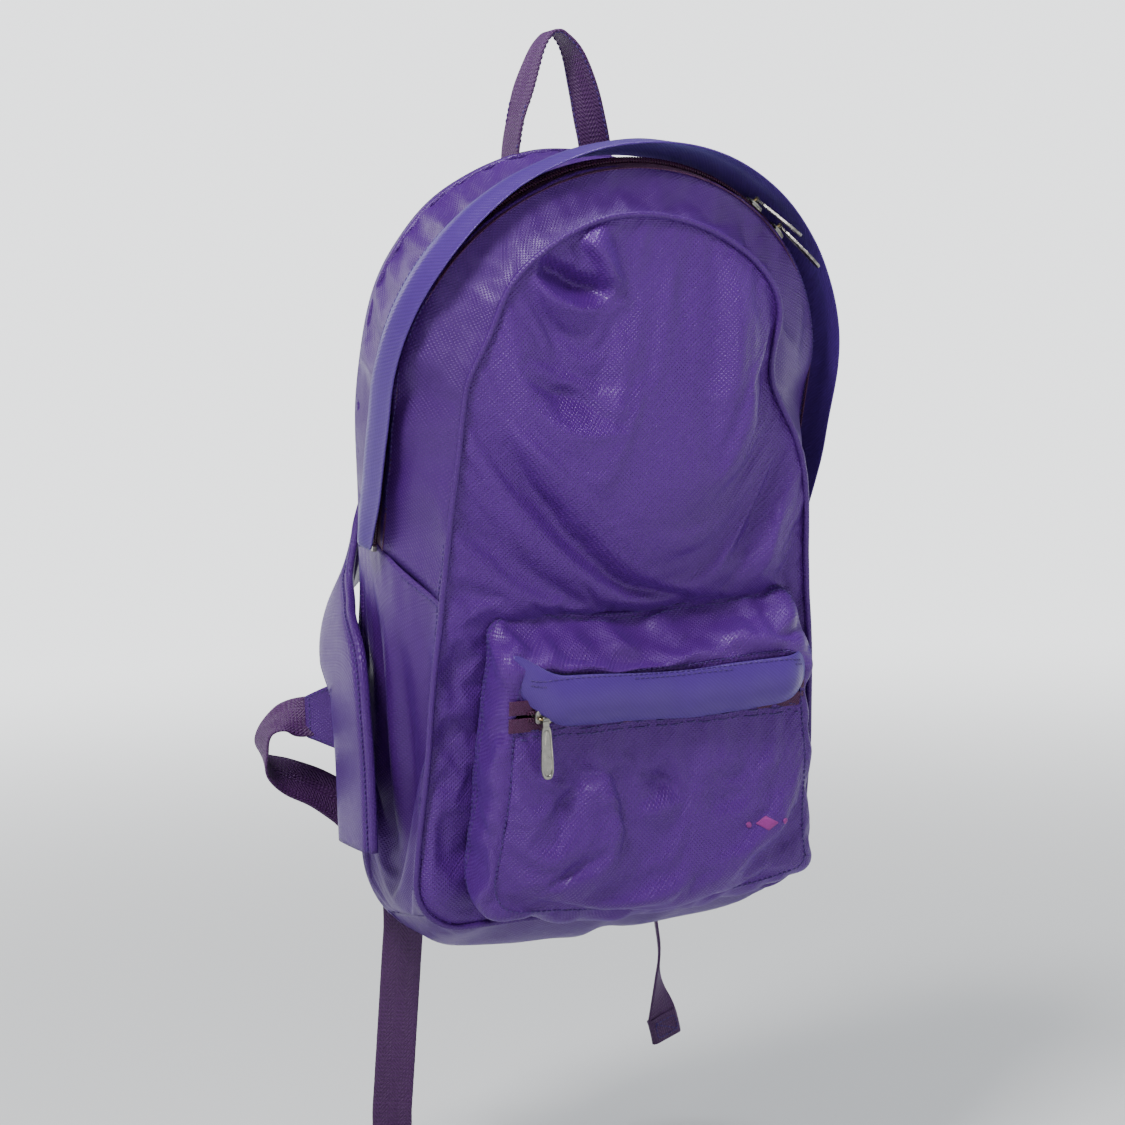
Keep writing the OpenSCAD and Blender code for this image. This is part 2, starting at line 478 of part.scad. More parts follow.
// Free tails below the ladder locks
tail_route_left = [[-103, 50, -501.5, 0.91, -0.41, 0], [-102, 49, -510, 0.91, -0.41, 0],
    [-101, 49, -520, 0.92, -0.4, 0], [-100, 50, -532, 0.92, -0.4, 0], [-100, 51, -545, 0.92, -0.4, 0],
    [-101, 52, -558, 0.92, -0.39, 0], [-102, 53, -571, 0.93, -0.38, 0], [-103, 54, -584, 0.93, -0.37, 0],
    [-104, 55, -597, 0.93, -0.36, 0], [-105, 56, -610, 0.94, -0.35, 0], [-106, 57, -623, 0.94, -0.34, 0],
    [-107, 58, -636, 0.94, -0.34, 0], [-108, 59, -649, 0.94, -0.33, 0], [-109, 60, -662, 0.95, -0.32, 0],
    [-109, 61, -675, 0.95, -0.31, 0], [-109, 61, -688, 0.95, -0.3, 0]];
tail_route_right = [[85, 76, -505.5, 0.41, 0.91, 0], [85, 75, -514, 0.42, 0.91, 0],
    [84, 75, -523, 0.44, 0.9, 0], [84, 75, -533, 0.45, 0.89, 0], [84, 76, -543, 0.45, 0.89, 0],
    [85, 77, -553, 0.43, 0.9, 0], [86, 77, -563, 0.4, 0.92, 0], [87, 77, -573, 0.38, 0.92, 0],
    [88, 77, -583, 0.4, 0.92, 0], [88, 77, -593, 0.45, 0.89, 0], [87, 78, -603, 0.5, 0.86, 0],
    [87, 79, -612, 0.6, 0.8, 0], [88, 80, -620, 0.75, 0.66, 0], [89.5, 81, -627, 0.88, 0.47, 0],
    [91, 82, -633.5, 0.95, 0.3, 0]];
module tail_left() color(webbing_purple) swept(band_rings(tail_route_left, cord_section(web_w, web_t)));
module tail_right() color(webbing_purple) swept(band_rings(tail_route_right, cord_section(web_w, web_t)));
// Folded and stitched ends of the tails
module stop(place, turn, tilt) translate(place) rotate([0, tilt, 0]) rotate([0, 0, turn])
    translate([-web_w / 2 - 0.5, -2.7, -16]) cube([web_w + 1, 5.4, 16]);
module tail_stop_left() color(webbing_purple) stop([-109, 61, -688.1], -18, 0);
module tail_stop_right() color(webbing_purple) stop([91.4, 82, -634.2], 17, -12);

back_panel();
back_foam();
back_lining();
front_panel();
front_piping();
rear_band();
front_band();
side_panel_left();
side_panel_right();
bottom_panel();
main_tape_rear();
main_tape_front();
main_coil_rear();
main_coil_front();
main_zip_stops();
main_flap();
main_slider_upper();
main_pull_upper();
main_slider_lower();
main_pull_lower();
pocket_gusset();
pocket_top();
pocket_front();
pocket_tapes();
pocket_coils();
pocket_slider();
pocket_pull();
pocket_flap();
pocket_mark();
haul_loop();
strap_anchor();
pad_face_left();
pad_foam_left();
pad_lining_left();
pad_face_right();
pad_foam_right();
pad_lining_right();
buckle_loop_left();
buckle_loop_right();
ladder_lock_left();
ladder_lock_right();
wing_left();
wing_right();
adjuster_left();
adjuster_right();
tail_left();
tail_right();
tail_stop_left();
tail_stop_right();
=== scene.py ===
import math

import bmesh
import bpy
import numpy as np
from mathutils import Matrix, Vector, noise
from mathutils.bvhtree import BVHTree
from mathutils.geometry import delaunay_2d_cdt


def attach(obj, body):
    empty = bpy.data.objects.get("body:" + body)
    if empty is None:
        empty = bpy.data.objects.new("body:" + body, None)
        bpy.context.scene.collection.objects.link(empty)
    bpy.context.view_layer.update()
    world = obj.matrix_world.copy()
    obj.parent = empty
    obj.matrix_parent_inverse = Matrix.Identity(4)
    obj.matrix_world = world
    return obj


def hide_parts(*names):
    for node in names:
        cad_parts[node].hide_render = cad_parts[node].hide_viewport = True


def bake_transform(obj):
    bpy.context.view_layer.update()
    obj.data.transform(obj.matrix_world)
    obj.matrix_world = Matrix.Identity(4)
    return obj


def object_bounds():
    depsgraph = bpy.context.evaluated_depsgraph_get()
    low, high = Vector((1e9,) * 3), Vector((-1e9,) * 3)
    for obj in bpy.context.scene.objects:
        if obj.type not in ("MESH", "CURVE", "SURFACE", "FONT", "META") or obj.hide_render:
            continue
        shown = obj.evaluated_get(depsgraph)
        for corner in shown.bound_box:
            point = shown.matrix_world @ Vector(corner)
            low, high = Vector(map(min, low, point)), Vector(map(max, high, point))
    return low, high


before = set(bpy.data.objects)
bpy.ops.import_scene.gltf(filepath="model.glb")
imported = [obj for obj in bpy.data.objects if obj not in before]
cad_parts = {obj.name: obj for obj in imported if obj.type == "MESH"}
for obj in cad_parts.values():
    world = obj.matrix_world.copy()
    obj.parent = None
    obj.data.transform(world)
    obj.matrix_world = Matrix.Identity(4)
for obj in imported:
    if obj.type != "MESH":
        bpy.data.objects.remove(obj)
cad_lo, cad_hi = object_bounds()
BAG = "bag"

# ---------------------------------------------------------------- camera, light, floor
AZIMUTH, ELEVATION, ROLL = map(math.radians, (-24, 5, -2))
CAMERA_DISTANCE = 1.6
LENS_MM = 85.3
# Where the middle of the view lies from the top of the haul loop, to the right and up
AIM_RIGHT, AIM_UP = 0.0057, -0.3195
PALE = (0.80, 0.815, 0.83)
WALL = 2.8


def make_camera():
    back = Vector((math.sin(AZIMUTH) * math.cos(ELEVATION), -math.cos(AZIMUTH) * math.cos(ELEVATION),
                   math.sin(ELEVATION)))
    level_right = (-back).cross(Vector((0, 0, 1))).normalized()
    level_up = level_right.cross(-back)
    right = level_right * math.cos(ROLL) + level_up * math.sin(ROLL)
    up = level_up * math.cos(ROLL) - level_right * math.sin(ROLL)
    data = bpy.data.cameras.new("camera")
    data.lens = LENS_MM
    data.sensor_width = 36
    camera = bpy.data.objects.new("camera", data)
    place = right * AIM_RIGHT + up * AIM_UP + back * CAMERA_DISTANCE
    camera.matrix_world = Matrix.Translation(place) @ Matrix((right, up, back)).transposed().to_4x4()
    bpy.context.scene.collection.objects.link(camera)
    bpy.context.scene.camera = camera


def area_light(name, place, aim, size, watts, colour):
    data = bpy.data.lights.new(name, "AREA")
    data.shape = "SQUARE"
    data.size = size
    data.energy = watts
    data.color = colour
    light = bpy.data.objects.new(name, data)
    light.location = place
    light.rotation_mode = "QUATERNION"
    light.rotation_quaternion = (Vector(aim) - Vector(place)).to_track_quat("-Z", "Y")
    bpy.context.scene.collection.objects.link(light)


def make_studio():
    middle = (0, 0, -0.3)
    area_light("key", (-1.2, -0.9, 1.4), middle, 0.5, 62, (1.0, 0.985, 0.97))
    area_light("fill", (1.7, -1.5, 0.4), middle, 1.0, 6, (0.93, 0.96, 1.0))
    area_light("top", (0.3, -0.2, 1.8), middle, 0.6, 44, (0.93, 0.96, 1.0))
    area_light("back", (-0.9, 1.8, 0.6), middle, 1.2, 12, (1.0, 1.0, 1.0))
    world = bpy.data.worlds.new("studio")
    world.use_nodes = True
    # Pale round the horizon and dimmer overhead, so that the lamps shape the folds
    tree = world.node_tree
    background = tree.nodes["Background"]
    background.inputs["Color"].default_value = (*PALE, 1)
    way = tree.nodes.new("ShaderNodeTexCoord")
    parts = tree.nodes.new("ShaderNodeSeparateXYZ")
    height = tree.nodes.new("ShaderNodeMapRange")
    height.interpolation_type = "SMOOTHSTEP"
    for socket, value in (("From Min", 0.28), ("From Max", 0.62), ("To Min", 0.6), ("To Max", 0.1)):
        height.inputs[socket].default_value = value
    tree.links.new(way.outputs["Generated"], parts.inputs[0])
    tree.links.new(parts.outputs["Z"], height.inputs["Value"])
    # What the camera sees of it is the wall, brighter than the light it gives
    seen = tree.nodes.new("ShaderNodeLightPath")
    shown = tree.nodes.new("ShaderNodeMix")
    shown.inputs["B"].default_value = WALL
    tree.links.new(seen.outputs["Is Camera Ray"], shown.inputs["Factor"])
    tree.links.new(height.outputs[0], shown.inputs["A"])
    tree.links.new(shown.outputs["Result"], background.inputs["Strength"])
    bpy.context.scene.world = world
    mesh = bpy.data.meshes.new("floor")
    half = 60
    z = cad_lo.z - 0.03
    mesh.from_pydata([(-half, -half, z), (half, -half, z), (half, half, z), (-half, half, z)], [], [(0, 1, 2, 3)])
    floor = bpy.data.objects.new("floor", mesh)
    material = bpy.data.materials.new("floor_paint")
    material.use_nodes = True
    tree = material.node_tree
    shader = tree.nodes["Principled BSDF"]
    shader.inputs["Base Color"].default_value = (0.66, 0.67, 0.68, 1)
    shader.inputs["Roughness"].default_value = 0.95
    # Far from the bag the floor turns into the pale backdrop, so there is no horizon
    place = tree.nodes.new("ShaderNodeTexCoord")
    reach = tree.nodes.new("ShaderNodeVectorMath")
    reach.operation = "LENGTH"
    fade_out = tree.nodes.new("ShaderNodeMapRange")
    fade_out.interpolation_type = "SMOOTHSTEP"
    fade_out.inputs["From Min"].default_value = 0.6
    fade_out.inputs["From Max"].default_value = 3.2
    glow = tree.nodes.new("ShaderNodeEmission")
    glow.inputs["Color"].default_value = (*PALE, 1)
    glow.inputs["Strength"].default_value = WALL
    blend = tree.nodes.new("ShaderNodeMixShader")
    tree.links.new(place.outputs["Object"], reach.inputs[0])
    tree.links.new(reach.outputs["Value"], fade_out.inputs["Value"])
    tree.links.new(fade_out.outputs[0], blend.inputs[0])
    tree.links.new(shader.outputs[0], blend.inputs[1])
    tree.links.new(glow.outputs[0], blend.inputs[2])
    tree.links.new(blend.outputs[0], tree.nodes["Material Output"].inputs["Surface"])
    mesh.materials.append(material)
    bpy.context.scene.collection.objects.link(floor)


make_camera()
make_studio()

# ---------------------------------------------------------------- materials
INK = {
    "shell": (0.060, 0.007, 0.175),
    # Painted shade: the gusset colour is the shell colour at 0.79, a darker copy of the same nylon for the bands,
    # sides, base, back and pads
    "gusset": (0.047, 0.006, 0.138),
    "flap": (0.054, 0.020, 0.195),
    "webbing": (0.046, 0.002, 0.070),
    "tape": (0.050, 0.006, 0.036),
    "thread": (0.035, 0.008, 0.120),
    "mark": (0.22, 0.015, 0.19),
    "nickel": (0.36, 0.35, 0.32),
    "brass": (0.42, 0.32, 0.16),
    "lining": (0.045, 0.042, 0.060),
    "plastic": (0.012, 0.012, 0.014),
}


class Nodes:
    """Short names for building a node tree."""

    def __init__(self, material):
        material.use_nodes = True
        self.tree = material.node_tree
        self.shader = self.tree.nodes["Principled BSDF"]

    def add(self, kind, **settings):
        node = self.tree.nodes.new(kind)
        for key, value in settings.items():
            if hasattr(node, key):
                setattr(node, key, value)
            else:
                node.inputs[key].default_value = value
        return node

    def link(self, a, b):
        self.tree.links.new(a, b)

    def maths(self, operation, a, b=None):
        node = self.add("ShaderNodeMath", operation=operation)
        for slot, value in enumerate((a, b)):
            if value is None:
                continue
            if isinstance(value, (int, float)):
                node.inputs[slot].default_value = value
            else:
                self.link(value, node.inputs[slot])
        return node.outputs[0]

    def mix_colour(self, share, a, b):
        node = self.add("ShaderNodeMix", data_type="RGBA")
        for slot, value in ((0, share), (6, a), (7, b)):
            if isinstance(value, (int, float)):
                node.inputs[slot].default_value = value
            elif isinstance(value, tuple):
                node.inputs[slot].default_value = (*value, 1)
            else:
                self.link(value, node.inputs[slot])
        return node.outputs[2]

    def bump(self, height, strength, distance, normal=None):
        node = self.add("ShaderNodeBump", Strength=strength, Distance=distance)
        self.link(height, node.inputs["Height"])
        if normal is not None:
            self.link(normal, node.inputs["Normal"])
        return node.outputs[0]


def scaled(colour, k):
    return tuple(c * k for c in colour)


def blotches(n, scale, detail=4.0, rough=0.6, stretch=(1, 1, 1)):
    place = n.add("ShaderNodeTexCoord")
    mapping = n.add("ShaderNodeMapping")
    mapping.inputs["Scale"].default_value = stretch
    n.link(place.outputs["Object"], mapping.inputs["Vector"])
    texture = n.add("ShaderNodeTexNoise", Scale=scale, Detail=detail, Roughness=rough)
    n.link(mapping.outputs[0], texture.inputs["Vector"])
    return texture.outputs["Fac"]


def woven(name, colour, pitch, sheen, sheen_tint, rough=0.52, twill=0.0, weave_depth=0.0003, tonal=0.34,
          coat=0.0):
    """Plain or twill weave of a given thread pitch in metres, over UVs that are in metres."""
    material = bpy.data.materials.new(name)
    n = Nodes(material)
    uv = n.add("ShaderNodeUVMap")
    split = n.add("ShaderNodeSeparateXYZ")
    n.link(uv.outputs[0], split.inputs[0])
    wander = n.maths("MULTIPLY", n.maths("SUBTRACT", blotches(n, 55, 3), 0.5), 0.0022)
    u = n.maths("ADD", split.outputs["X"], wander)
    v = n.maths("ADD", split.outputs["Y"], n.maths("MULTIPLY", wander, -1.0))
    k = math.pi / pitch
    warp = n.maths("SINE", n.maths("MULTIPLY", u, k))
    weft = n.maths("SINE", n.maths("MULTIPLY", v, k))
    plain = n.maths("MULTIPLY", warp, weft)
    ridges = n.maths("MULTIPLY", n.maths("ABSOLUTE", warp), n.maths("ABSOLUTE", weft))
    diagonal = n.maths("SINE", n.maths("MULTIPLY", n.maths("ADD", u, v), k * 0.75))
    height = n.maths("ADD", n.maths("MULTIPLY", plain, 0.5 * (1 - twill)), n.maths("MULTIPLY", ridges, 0.6))
    height = n.maths("ADD", height, n.maths("MULTIPLY", diagonal, 0.55 * twill + 0.12))
    large = blotches(n, 9, 5, 0.62)
    fine = blotches(n, 150, 3, 0.7)
    tone = n.mix_colour(large, scaled(colour, 1 - tonal), scaled(colour, 1 + tonal))
    threads = n.maths("MULTIPLY", n.maths("ADD", height, 0.6), 0.55)
    shot = (colour[0] * 1.55, colour[1] * 1.15, colour[2] * 0.95)
    tone = n.mix_colour(n.maths("MULTIPLY", n.maths("ADD", plain, 1.0), 0.22), tone, shot)
    # Painted shade: the weave's low points between the threads are darkened towards 0.45 of the colour
    tone = n.mix_colour(n.maths("MULTIPLY", n.maths("SUBTRACT", 1.0, threads), 0.5), tone, scaled(colour, 0.45))
    worn = n.maths("MULTIPLY", n.maths("GREATER_THAN", fine, 0.70), 0.10)
    tone = n.mix_colour(worn, tone, scaled(colour, 1.9))
    n.link(tone, n.shader.inputs["Base Color"])
    roughness = n.maths("ADD", n.maths("MULTIPLY", fine, 0.18), rough - 0.09)
    n.link(roughness, n.shader.inputs["Roughness"])
    crumple = n.bump(blotches(n, 38, 5, 0.55, (1, 1, 0.7)), 0.35, 0.0012)
    n.link(n.bump(height, 1.0, weave_depth, crumple), n.shader.inputs["Normal"])
    n.shader.inputs["Sheen Weight"].default_value = sheen
    n.shader.inputs["Sheen Roughness"].default_value = 0.38
    n.shader.inputs["Sheen Tint"].default_value = (*sheen_tint, 1)
    n.shader.inputs["Coat Weight"].default_value = coat
    n.shader.inputs["Coat Roughness"].default_value = 0.45
    n.shader.inputs["Specular IOR Level"].default_value = 0.5
    n.shader.inputs["Specular Tint"].default_value = (0.72, 0.62, 1.0, 1)
    return material


def ribbed(name, colour, pitch):
    """Flat webbing: ribs across the band, with a herringbone of warp threads along it."""
    material = bpy.data.materials.new(name)
    n = Nodes(material)
    uv = n.add("ShaderNodeUVMap")
    split = n.add("ShaderNodeSeparateXYZ")
    n.link(uv.outputs[0], split.inputs[0])
    u, v = split.outputs["X"], split.outputs["Y"]
    rib = n.maths("SINE", n.maths("MULTIPLY", v, 2 * math.pi / pitch))
    cord = n.maths("SINE", n.maths("MULTIPLY", u, 2 * math.pi / (pitch * 0.72)))
    chevron = n.maths("SINE", n.maths("MULTIPLY", n.maths("ADD", v, n.maths("MULTIPLY", n.maths(
        "PINGPONG", u, pitch * 2.2), 1.3)), 2 * math.pi / pitch))
    height = n.maths("ADD", n.maths("MULTIPLY", rib, 0.35), n.maths("MULTIPLY", cord, 0.25))
    height = n.maths("ADD", height, n.maths("MULTIPLY", chevron, 0.5))
    large = blotches(n, 22, 4)
    tone = n.mix_colour(large, scaled(colour, 0.72), scaled(colour, 1.35))
    # Painted shade: the low parts of the ribs and chevrons are darkened towards 0.4 of the colour
    tone = n.mix_colour(n.maths("MULTIPLY", n.maths("SUBTRACT", 0.7, height), 0.35), tone, scaled(colour, 0.4))
    n.link(tone, n.shader.inputs["Base Color"])
    n.link(n.bump(height, 0.85, 0.0003), n.shader.inputs["Normal"])
    n.shader.inputs["Roughness"].default_value = 0.6
    n.shader.inputs["Sheen Weight"].default_value = 0.08
    n.shader.inputs["Sheen Roughness"].default_value = 0.4
    n.shader.inputs["Sheen Tint"].default_value = (0.55, 0.2, 0.8, 1)
    return material


def cast_metal(name, colour, worn):
    material = bpy.data.materials.new(name)
    n = Nodes(material)
    cloud = blotches(n, 260, 4, 0.6)
    scratch = blotches(n, 600, 2, 0.5, (1, 1, 0.12))
    tone = n.mix_colour(n.maths("MULTIPLY", n.maths("SUBTRACT", cloud, 0.35), 1.6), scaled(colour, 0.55), colour)
    tone = n.mix_colour(n.maths("MULTIPLY", n.maths("GREATER_THAN", scratch, 0.62), 0.35), tone, worn)
    n.link(tone, n.shader.inputs["Base Color"])
    n.shader.inputs["Metallic"].default_value = 0.95
    n.link(n.maths("ADD", n.maths("MULTIPLY", cloud, 0.3), 0.16), n.shader.inputs["Roughness"])
    n.link(n.bump(scratch, 0.25, 0.0001), n.shader.inputs["Normal"])
    return material


def moulded(name, colour, rough, grain):
    material = bpy.data.materials.new(name)
    n = Nodes(material)
    cloud = blotches(n, grain, 3)
    n.link(n.mix_colour(cloud, scaled(colour, 0.7), scaled(colour, 1.4)), n.shader.inputs["Base Color"])
    n.link(n.maths("ADD", n.maths("MULTIPLY", cloud, 0.2), rough), n.shader.inputs["Roughness"])
    n.link(n.bump(cloud, 0.3, 0.00015), n.shader.inputs["Normal"])
    return material


BLUE_SHEEN = (0.30, 0.22, 1.0)
MAT = {
    "shell": woven("shell_nylon", INK["shell"], 0.00125, 0.10, BLUE_SHEEN, rough=0.40),
    # Painted shade: a darker copy of the shell nylon
    "gusset": woven("shaded_gusset_nylon", INK["gusset"], 0.00125, 0.08, BLUE_SHEEN, rough=0.42, weave_depth=0.0002),
    "flap": woven("flap_twill", INK["flap"], 0.0009, 0.22, (0.35, 0.45, 1.0), rough=0.36, twill=0.8,
                  weave_depth=0.00009, tonal=0.18),
    "webbing": ribbed("ribbed_webbing", INK["webbing"], 0.0026),
    "tape": woven("zip_tape_weave", INK["tape"], 0.0009, 0.2, (0.8, 0.5, 0.8)),
    "coil": moulded("zip_coil_nylon", INK["tape"], 0.32, 900),
    "thread": moulded("sewing_thread", INK["thread"], 0.5, 1500),
    "mark": moulded("embroidery_thread", INK["mark"], 0.42, 1800),
    "nickel": cast_metal("worn_nickel", INK["nickel"], (0.72, 0.66, 0.52)),
    "brass": cast_metal("worn_brass", INK["brass"], (0.62, 0.60, 0.55)),
    "lining": woven("lining_weave", INK["lining"], 0.0009, 0.2, (0.8, 0.8, 0.9), rough=0.7),
    "plastic": moulded("moulded_acetal", INK["plastic"], 0.38, 500),
}

# ---------------------------------------------------------------- the bag's shape, in millimetres
# Planes as (y, z, lean) of their top point, the same three that the part is drawn in
BACK_PLANE = (0, -70, math.radians(5))
FRONT_PLANE = (-118, -115, math.radians(10))
ZIP_PLANE = (-100, -85, math.radians(20.4))
ZIP_R, ZIP_LEG, ZIP_HALF = 134, 95, 8
ARC, LEG, SIDE, CORNER, BASE = 16, 3, 5, 6, 3
UPPER = ARC + LEG
LOWER = SIDE + CORNER + BASE
SIDE_END = SIDE + 3
GUSSET_FOLD = 12
POCKET_X, POCKET_D = 8, 34
POCKET_TOP, POCKET_FOOT, POCKET_ZIP = 228, 402, 280


def on_plane(plane, x, h, e=0.0):
    """Points x across, h down and e behind a plane, in metres."""
    y0, z0, lean = plane
    x, h, e = np.broadcast_arrays(np.asarray(x, float), np.asarray(h, float), np.asarray(e, float))
    return np.stack([x, y0 + h * math.sin(lean) + e * math.cos(lean),
                     z0 - h * math.cos(lean) + e * math.sin(lean)], -1) * 0.001


def bump(x, middle, width):
    return np.exp(-((np.asarray(x, float) - middle) / width) ** 2)


def ramp(x, start, end):
    t = np.clip((np.asarray(x, float) - start) / (end - start), 0, 1)
    return t * t * (3 - 2 * t)


def upper_half(u, r, split_w, split_h):
    """x and h along the right half of a ring's arch and leg, with u from 0 at the top to 1 at the split."""
    k = np.asarray(u, float) * UPPER
    a = np.clip(k / ARC, 0, 1) * math.pi / 2
    t = np.clip((k - ARC) / LEG, 0, 1)
    return r * np.sin(a) + (split_w - r) * t, r - r * np.cos(a) + (split_h - r) * t


def lower_half(v, split_w, split_h, foot_w, foot_h, corner):
    """x and h down the side, round the corner and along the foot, with v from 0 at the split to LOWER in the middle."""
    v = np.asarray(v, float)
    t = np.clip(v / SIDE, 0, 1)
    a = np.clip((v - SIDE) / CORNER, 0, 1) * math.pi / 2
    q = np.clip((v - SIDE - CORNER) / BASE, 0, 1)
    x = split_w + (foot_w - split_w) * t - corner * (1 - np.cos(a)) - (foot_w - corner) * q
    h = split_h + (foot_h - corner - split_h) * t + corner * np.sin(a)
    return x, h


def front_shape(x, h):
    """The front ring's own quirks: pushed in on the right of the arch, a sagging foot."""
    x, h = np.asarray(x, float), np.asarray(h, float)
    return x - np.where(x > 0, 19 * bump(h, 95, 33), 5 * bump(h, 66, 20) * (x < 0) * -1), h + 5 * ramp(h, 380, 415) * bump(
        x, -10, 60)


def front_ring(half, side):
    return front_shape(side * half[0], half[1])


FRONT_UPPER, BACK_UPPER = (106, 120, 219), (129, 131, 231)
FRONT_LOWER, BACK_LOWER = (120, 219, 129, 415, 30), (131, 231, 130, 482, 60)


def signed(function, s, *sizes):
    x, h = function(np.abs(s), *sizes)
    return np.sign(s) * x, h


def back_arch(s):
    return on_plane(BACK_PLANE, *signed(upper_half, s, *BACK_UPPER))


def front_arch(s, e=0.0):
    return on_plane(FRONT_PLANE, *front_shape(*signed(upper_half, s, *FRONT_UPPER)), e)


def zip_arch(s, e=0.0, out=0.0):
    r = ZIP_R + out
    k = np.abs(np.asarray(s, float)) * UPPER
    a = np.clip(k / ARC, 0, 1) * math.pi / 2
    leg = np.clip((k - ARC) / LEG, 0, 1) * ZIP_LEG
    return on_plane(ZIP_PLANE, np.sign(s) * r * np.sin(a), ZIP_R - r * np.cos(a) + leg, e)


def catmull(rows, steps):
    """Smooth curve through rows of numbers."""
    rows = np.asarray(rows, float)
    out = []
    last = len(rows) - 1
    for i in range(last):
        a, b, c, d = rows[max(0, i - 1)], rows[i], rows[i + 1], rows[min(last, i + 2)]
        for k in range(steps):
            t = k / steps
            out.append(0.5 * (2 * b + (c - a) * t + (2 * a - 5 * b + 4 * c - d) * t * t
                              + (3 * b - a - 3 * c + d) * t ** 3))
    out.append(rows[-1])
    return np.array(out)


def resample(points, step):
    """The same curve at an even spacing, in metres."""
    points = np.asarray(points, float)
    along = np.concatenate([[0], np.cumsum(np.linalg.norm(np.diff(points, axis=0), axis=1))])
    count = max(2, int(round(along[-1] / step)) + 1)
    at = np.linspace(0, along[-1], count)
    return np.stack([np.interp(at, along, points[:, k]) for k in range(points.shape[1])], 1)


def wander(points, size, scale, seed=0.0):
    """Smooth random offsets, the same for the same point whichever piece asks."""
    out = np.zeros_like(points)
    for i, p in enumerate(points.reshape(-1, 3)):
        v = noise.noise_vector(Vector(p) * scale + Vector((seed, seed * 0.7, -seed)))
        out.reshape(-1, 3)[i] = v
    return out * size


# ---------------------------------------------------------------- making pieces
def new_piece(name, verts, faces, uvs, material, body=BAG, replaces=(), slot="shell_fabric", smooth=True):
    mesh = bpy.data.meshes.new(name)
    mesh.from_pydata([tuple(v) for v in np.asarray(verts, float)], [], [tuple(int(i) for i in f) for f in faces])
    if uvs is not None:
        layer = mesh.uv_layers.new(name="UVMap")
        index = np.zeros(len(mesh.loops), dtype=np.int32)
        mesh.loops.foreach_get("vertex_index", index)
        layer.data.foreach_set("uv", np.asarray(uvs, np.float32)[index].ravel())
    mesh.polygons.foreach_set("use_smooth", [smooth] * len(mesh.polygons))
    mesh.materials.append(MAT[material])
    obj = bpy.data.objects.new(name, mesh)
    bpy.context.scene.collection.objects.link(obj)
    if body:
        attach(obj, body)
    if replaces:
        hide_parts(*replaces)
    return obj


def thicken(obj, thickness, offset=-1.0, levels=1):
    if levels:
        sub = obj.modifiers.new("smooth", "SUBSURF")
        sub.levels = sub.render_levels = levels
    solid = obj.modifiers.new("thickness", "SOLIDIFY")
    solid.thickness = thickness
    solid.offset = offset
    return obj


def grid_faces(rows, columns, closed=False):
    faces = []
    for r in range(rows - 1):
        for c in range(columns if closed else columns - 1):
            d = (c + 1) % columns
            faces.append((r * columns + c, r * columns + d, (r + 1) * columns + d, (r + 1) * columns + c))
    return faces


def grid_uvs(P):
    """Real lengths along and across a grid of points."""
    across = np.concatenate([np.zeros((P.shape[0], 1)), np.cumsum(np.linalg.norm(np.diff(P, axis=1), axis=2), 1)], 1)
    along = np.concatenate([np.zeros((1, P.shape[1])), np.cumsum(np.linalg.norm(np.diff(P, axis=0), axis=2), 0)], 0)
    # One mean length for every row and column keeps the weave's threads straight
    across[:], along[:] = across.mean(0)[None], along.mean(1)[:, None]
    return np.stack([across, along], -1).reshape(-1, 2)


def grid_normals(P):
    du = np.gradient(P, axis=1)
    dv = np.gradient(P, axis=0)
    n = np.cross(du, dv)
    return n / np.maximum(np.linalg.norm(n, axis=2, keepdims=True), 1e-12)


def planar(outline, spacing, holes=()):
    """Even triangles inside a closed outline of (x, h) points. The outline comes first."""
    outline = np.asarray(outline, float)
    lo, hi = outline.min(0), outline.max(0)
    xs, hs = [], []
    row = 0
    h = lo[1] + spacing * 0.5
    n = len(outline)
    a, b = outline, np.roll(outline, -1, axis=0)
    while h < hi[1]:
        x = np.arange(lo[0] + (spacing / 2 if row % 2 else 0), hi[0], spacing)
        xs.append(x)
        hs.append(np.full_like(x, h))
        h += spacing * 0.87
        row += 1
    P = np.stack([np.concatenate(xs), np.concatenate(hs)], 1)
    inside = np.zeros(len(P), bool)
    near = np.full(len(P), 1e9)
    for p, q in zip(a, b):
        crosses = (p[1] > P[:, 1]) != (q[1] > P[:, 1])
        with np.errstate(divide="ignore", invalid="ignore"):
            at = (q[0] - p[0]) * (P[:, 1] - p[1]) / (q[1] - p[1]) + p[0]
        inside ^= crosses & (P[:, 0] < at)
        d = q - p
        t = np.clip(((P - p) @ d) / max(d @ d, 1e-9), 0, 1)
        near = np.minimum(near, np.linalg.norm(P - p - t[:, None] * d, axis=1))
    P = P[inside & (near > spacing * 0.45)]
    points = [Vector(p) for p in outline] + [Vector(p) for p in P]
    edges = [(i, (i + 1) % n) for i in range(n)]
    verts, _, faces, _, _, _ = delaunay_2d_cdt(points, edges, [], 1, 1e-4)
    return np.array([tuple(v) for v in verts]), faces


def border_distance(P, outline):
    outline = np.asarray(outline, float)
    near = np.full(len(P), 1e9)
    for p, q in zip(outline, np.roll(outline, -1, axis=0)):
        d = q - p
        t = np.clip(((P - p) @ d) / max(d @ d, 1e-9), 0, 1)
        near = np.minimum(near, np.linalg.norm(P - p - t[:, None] * d, axis=1))
    return near


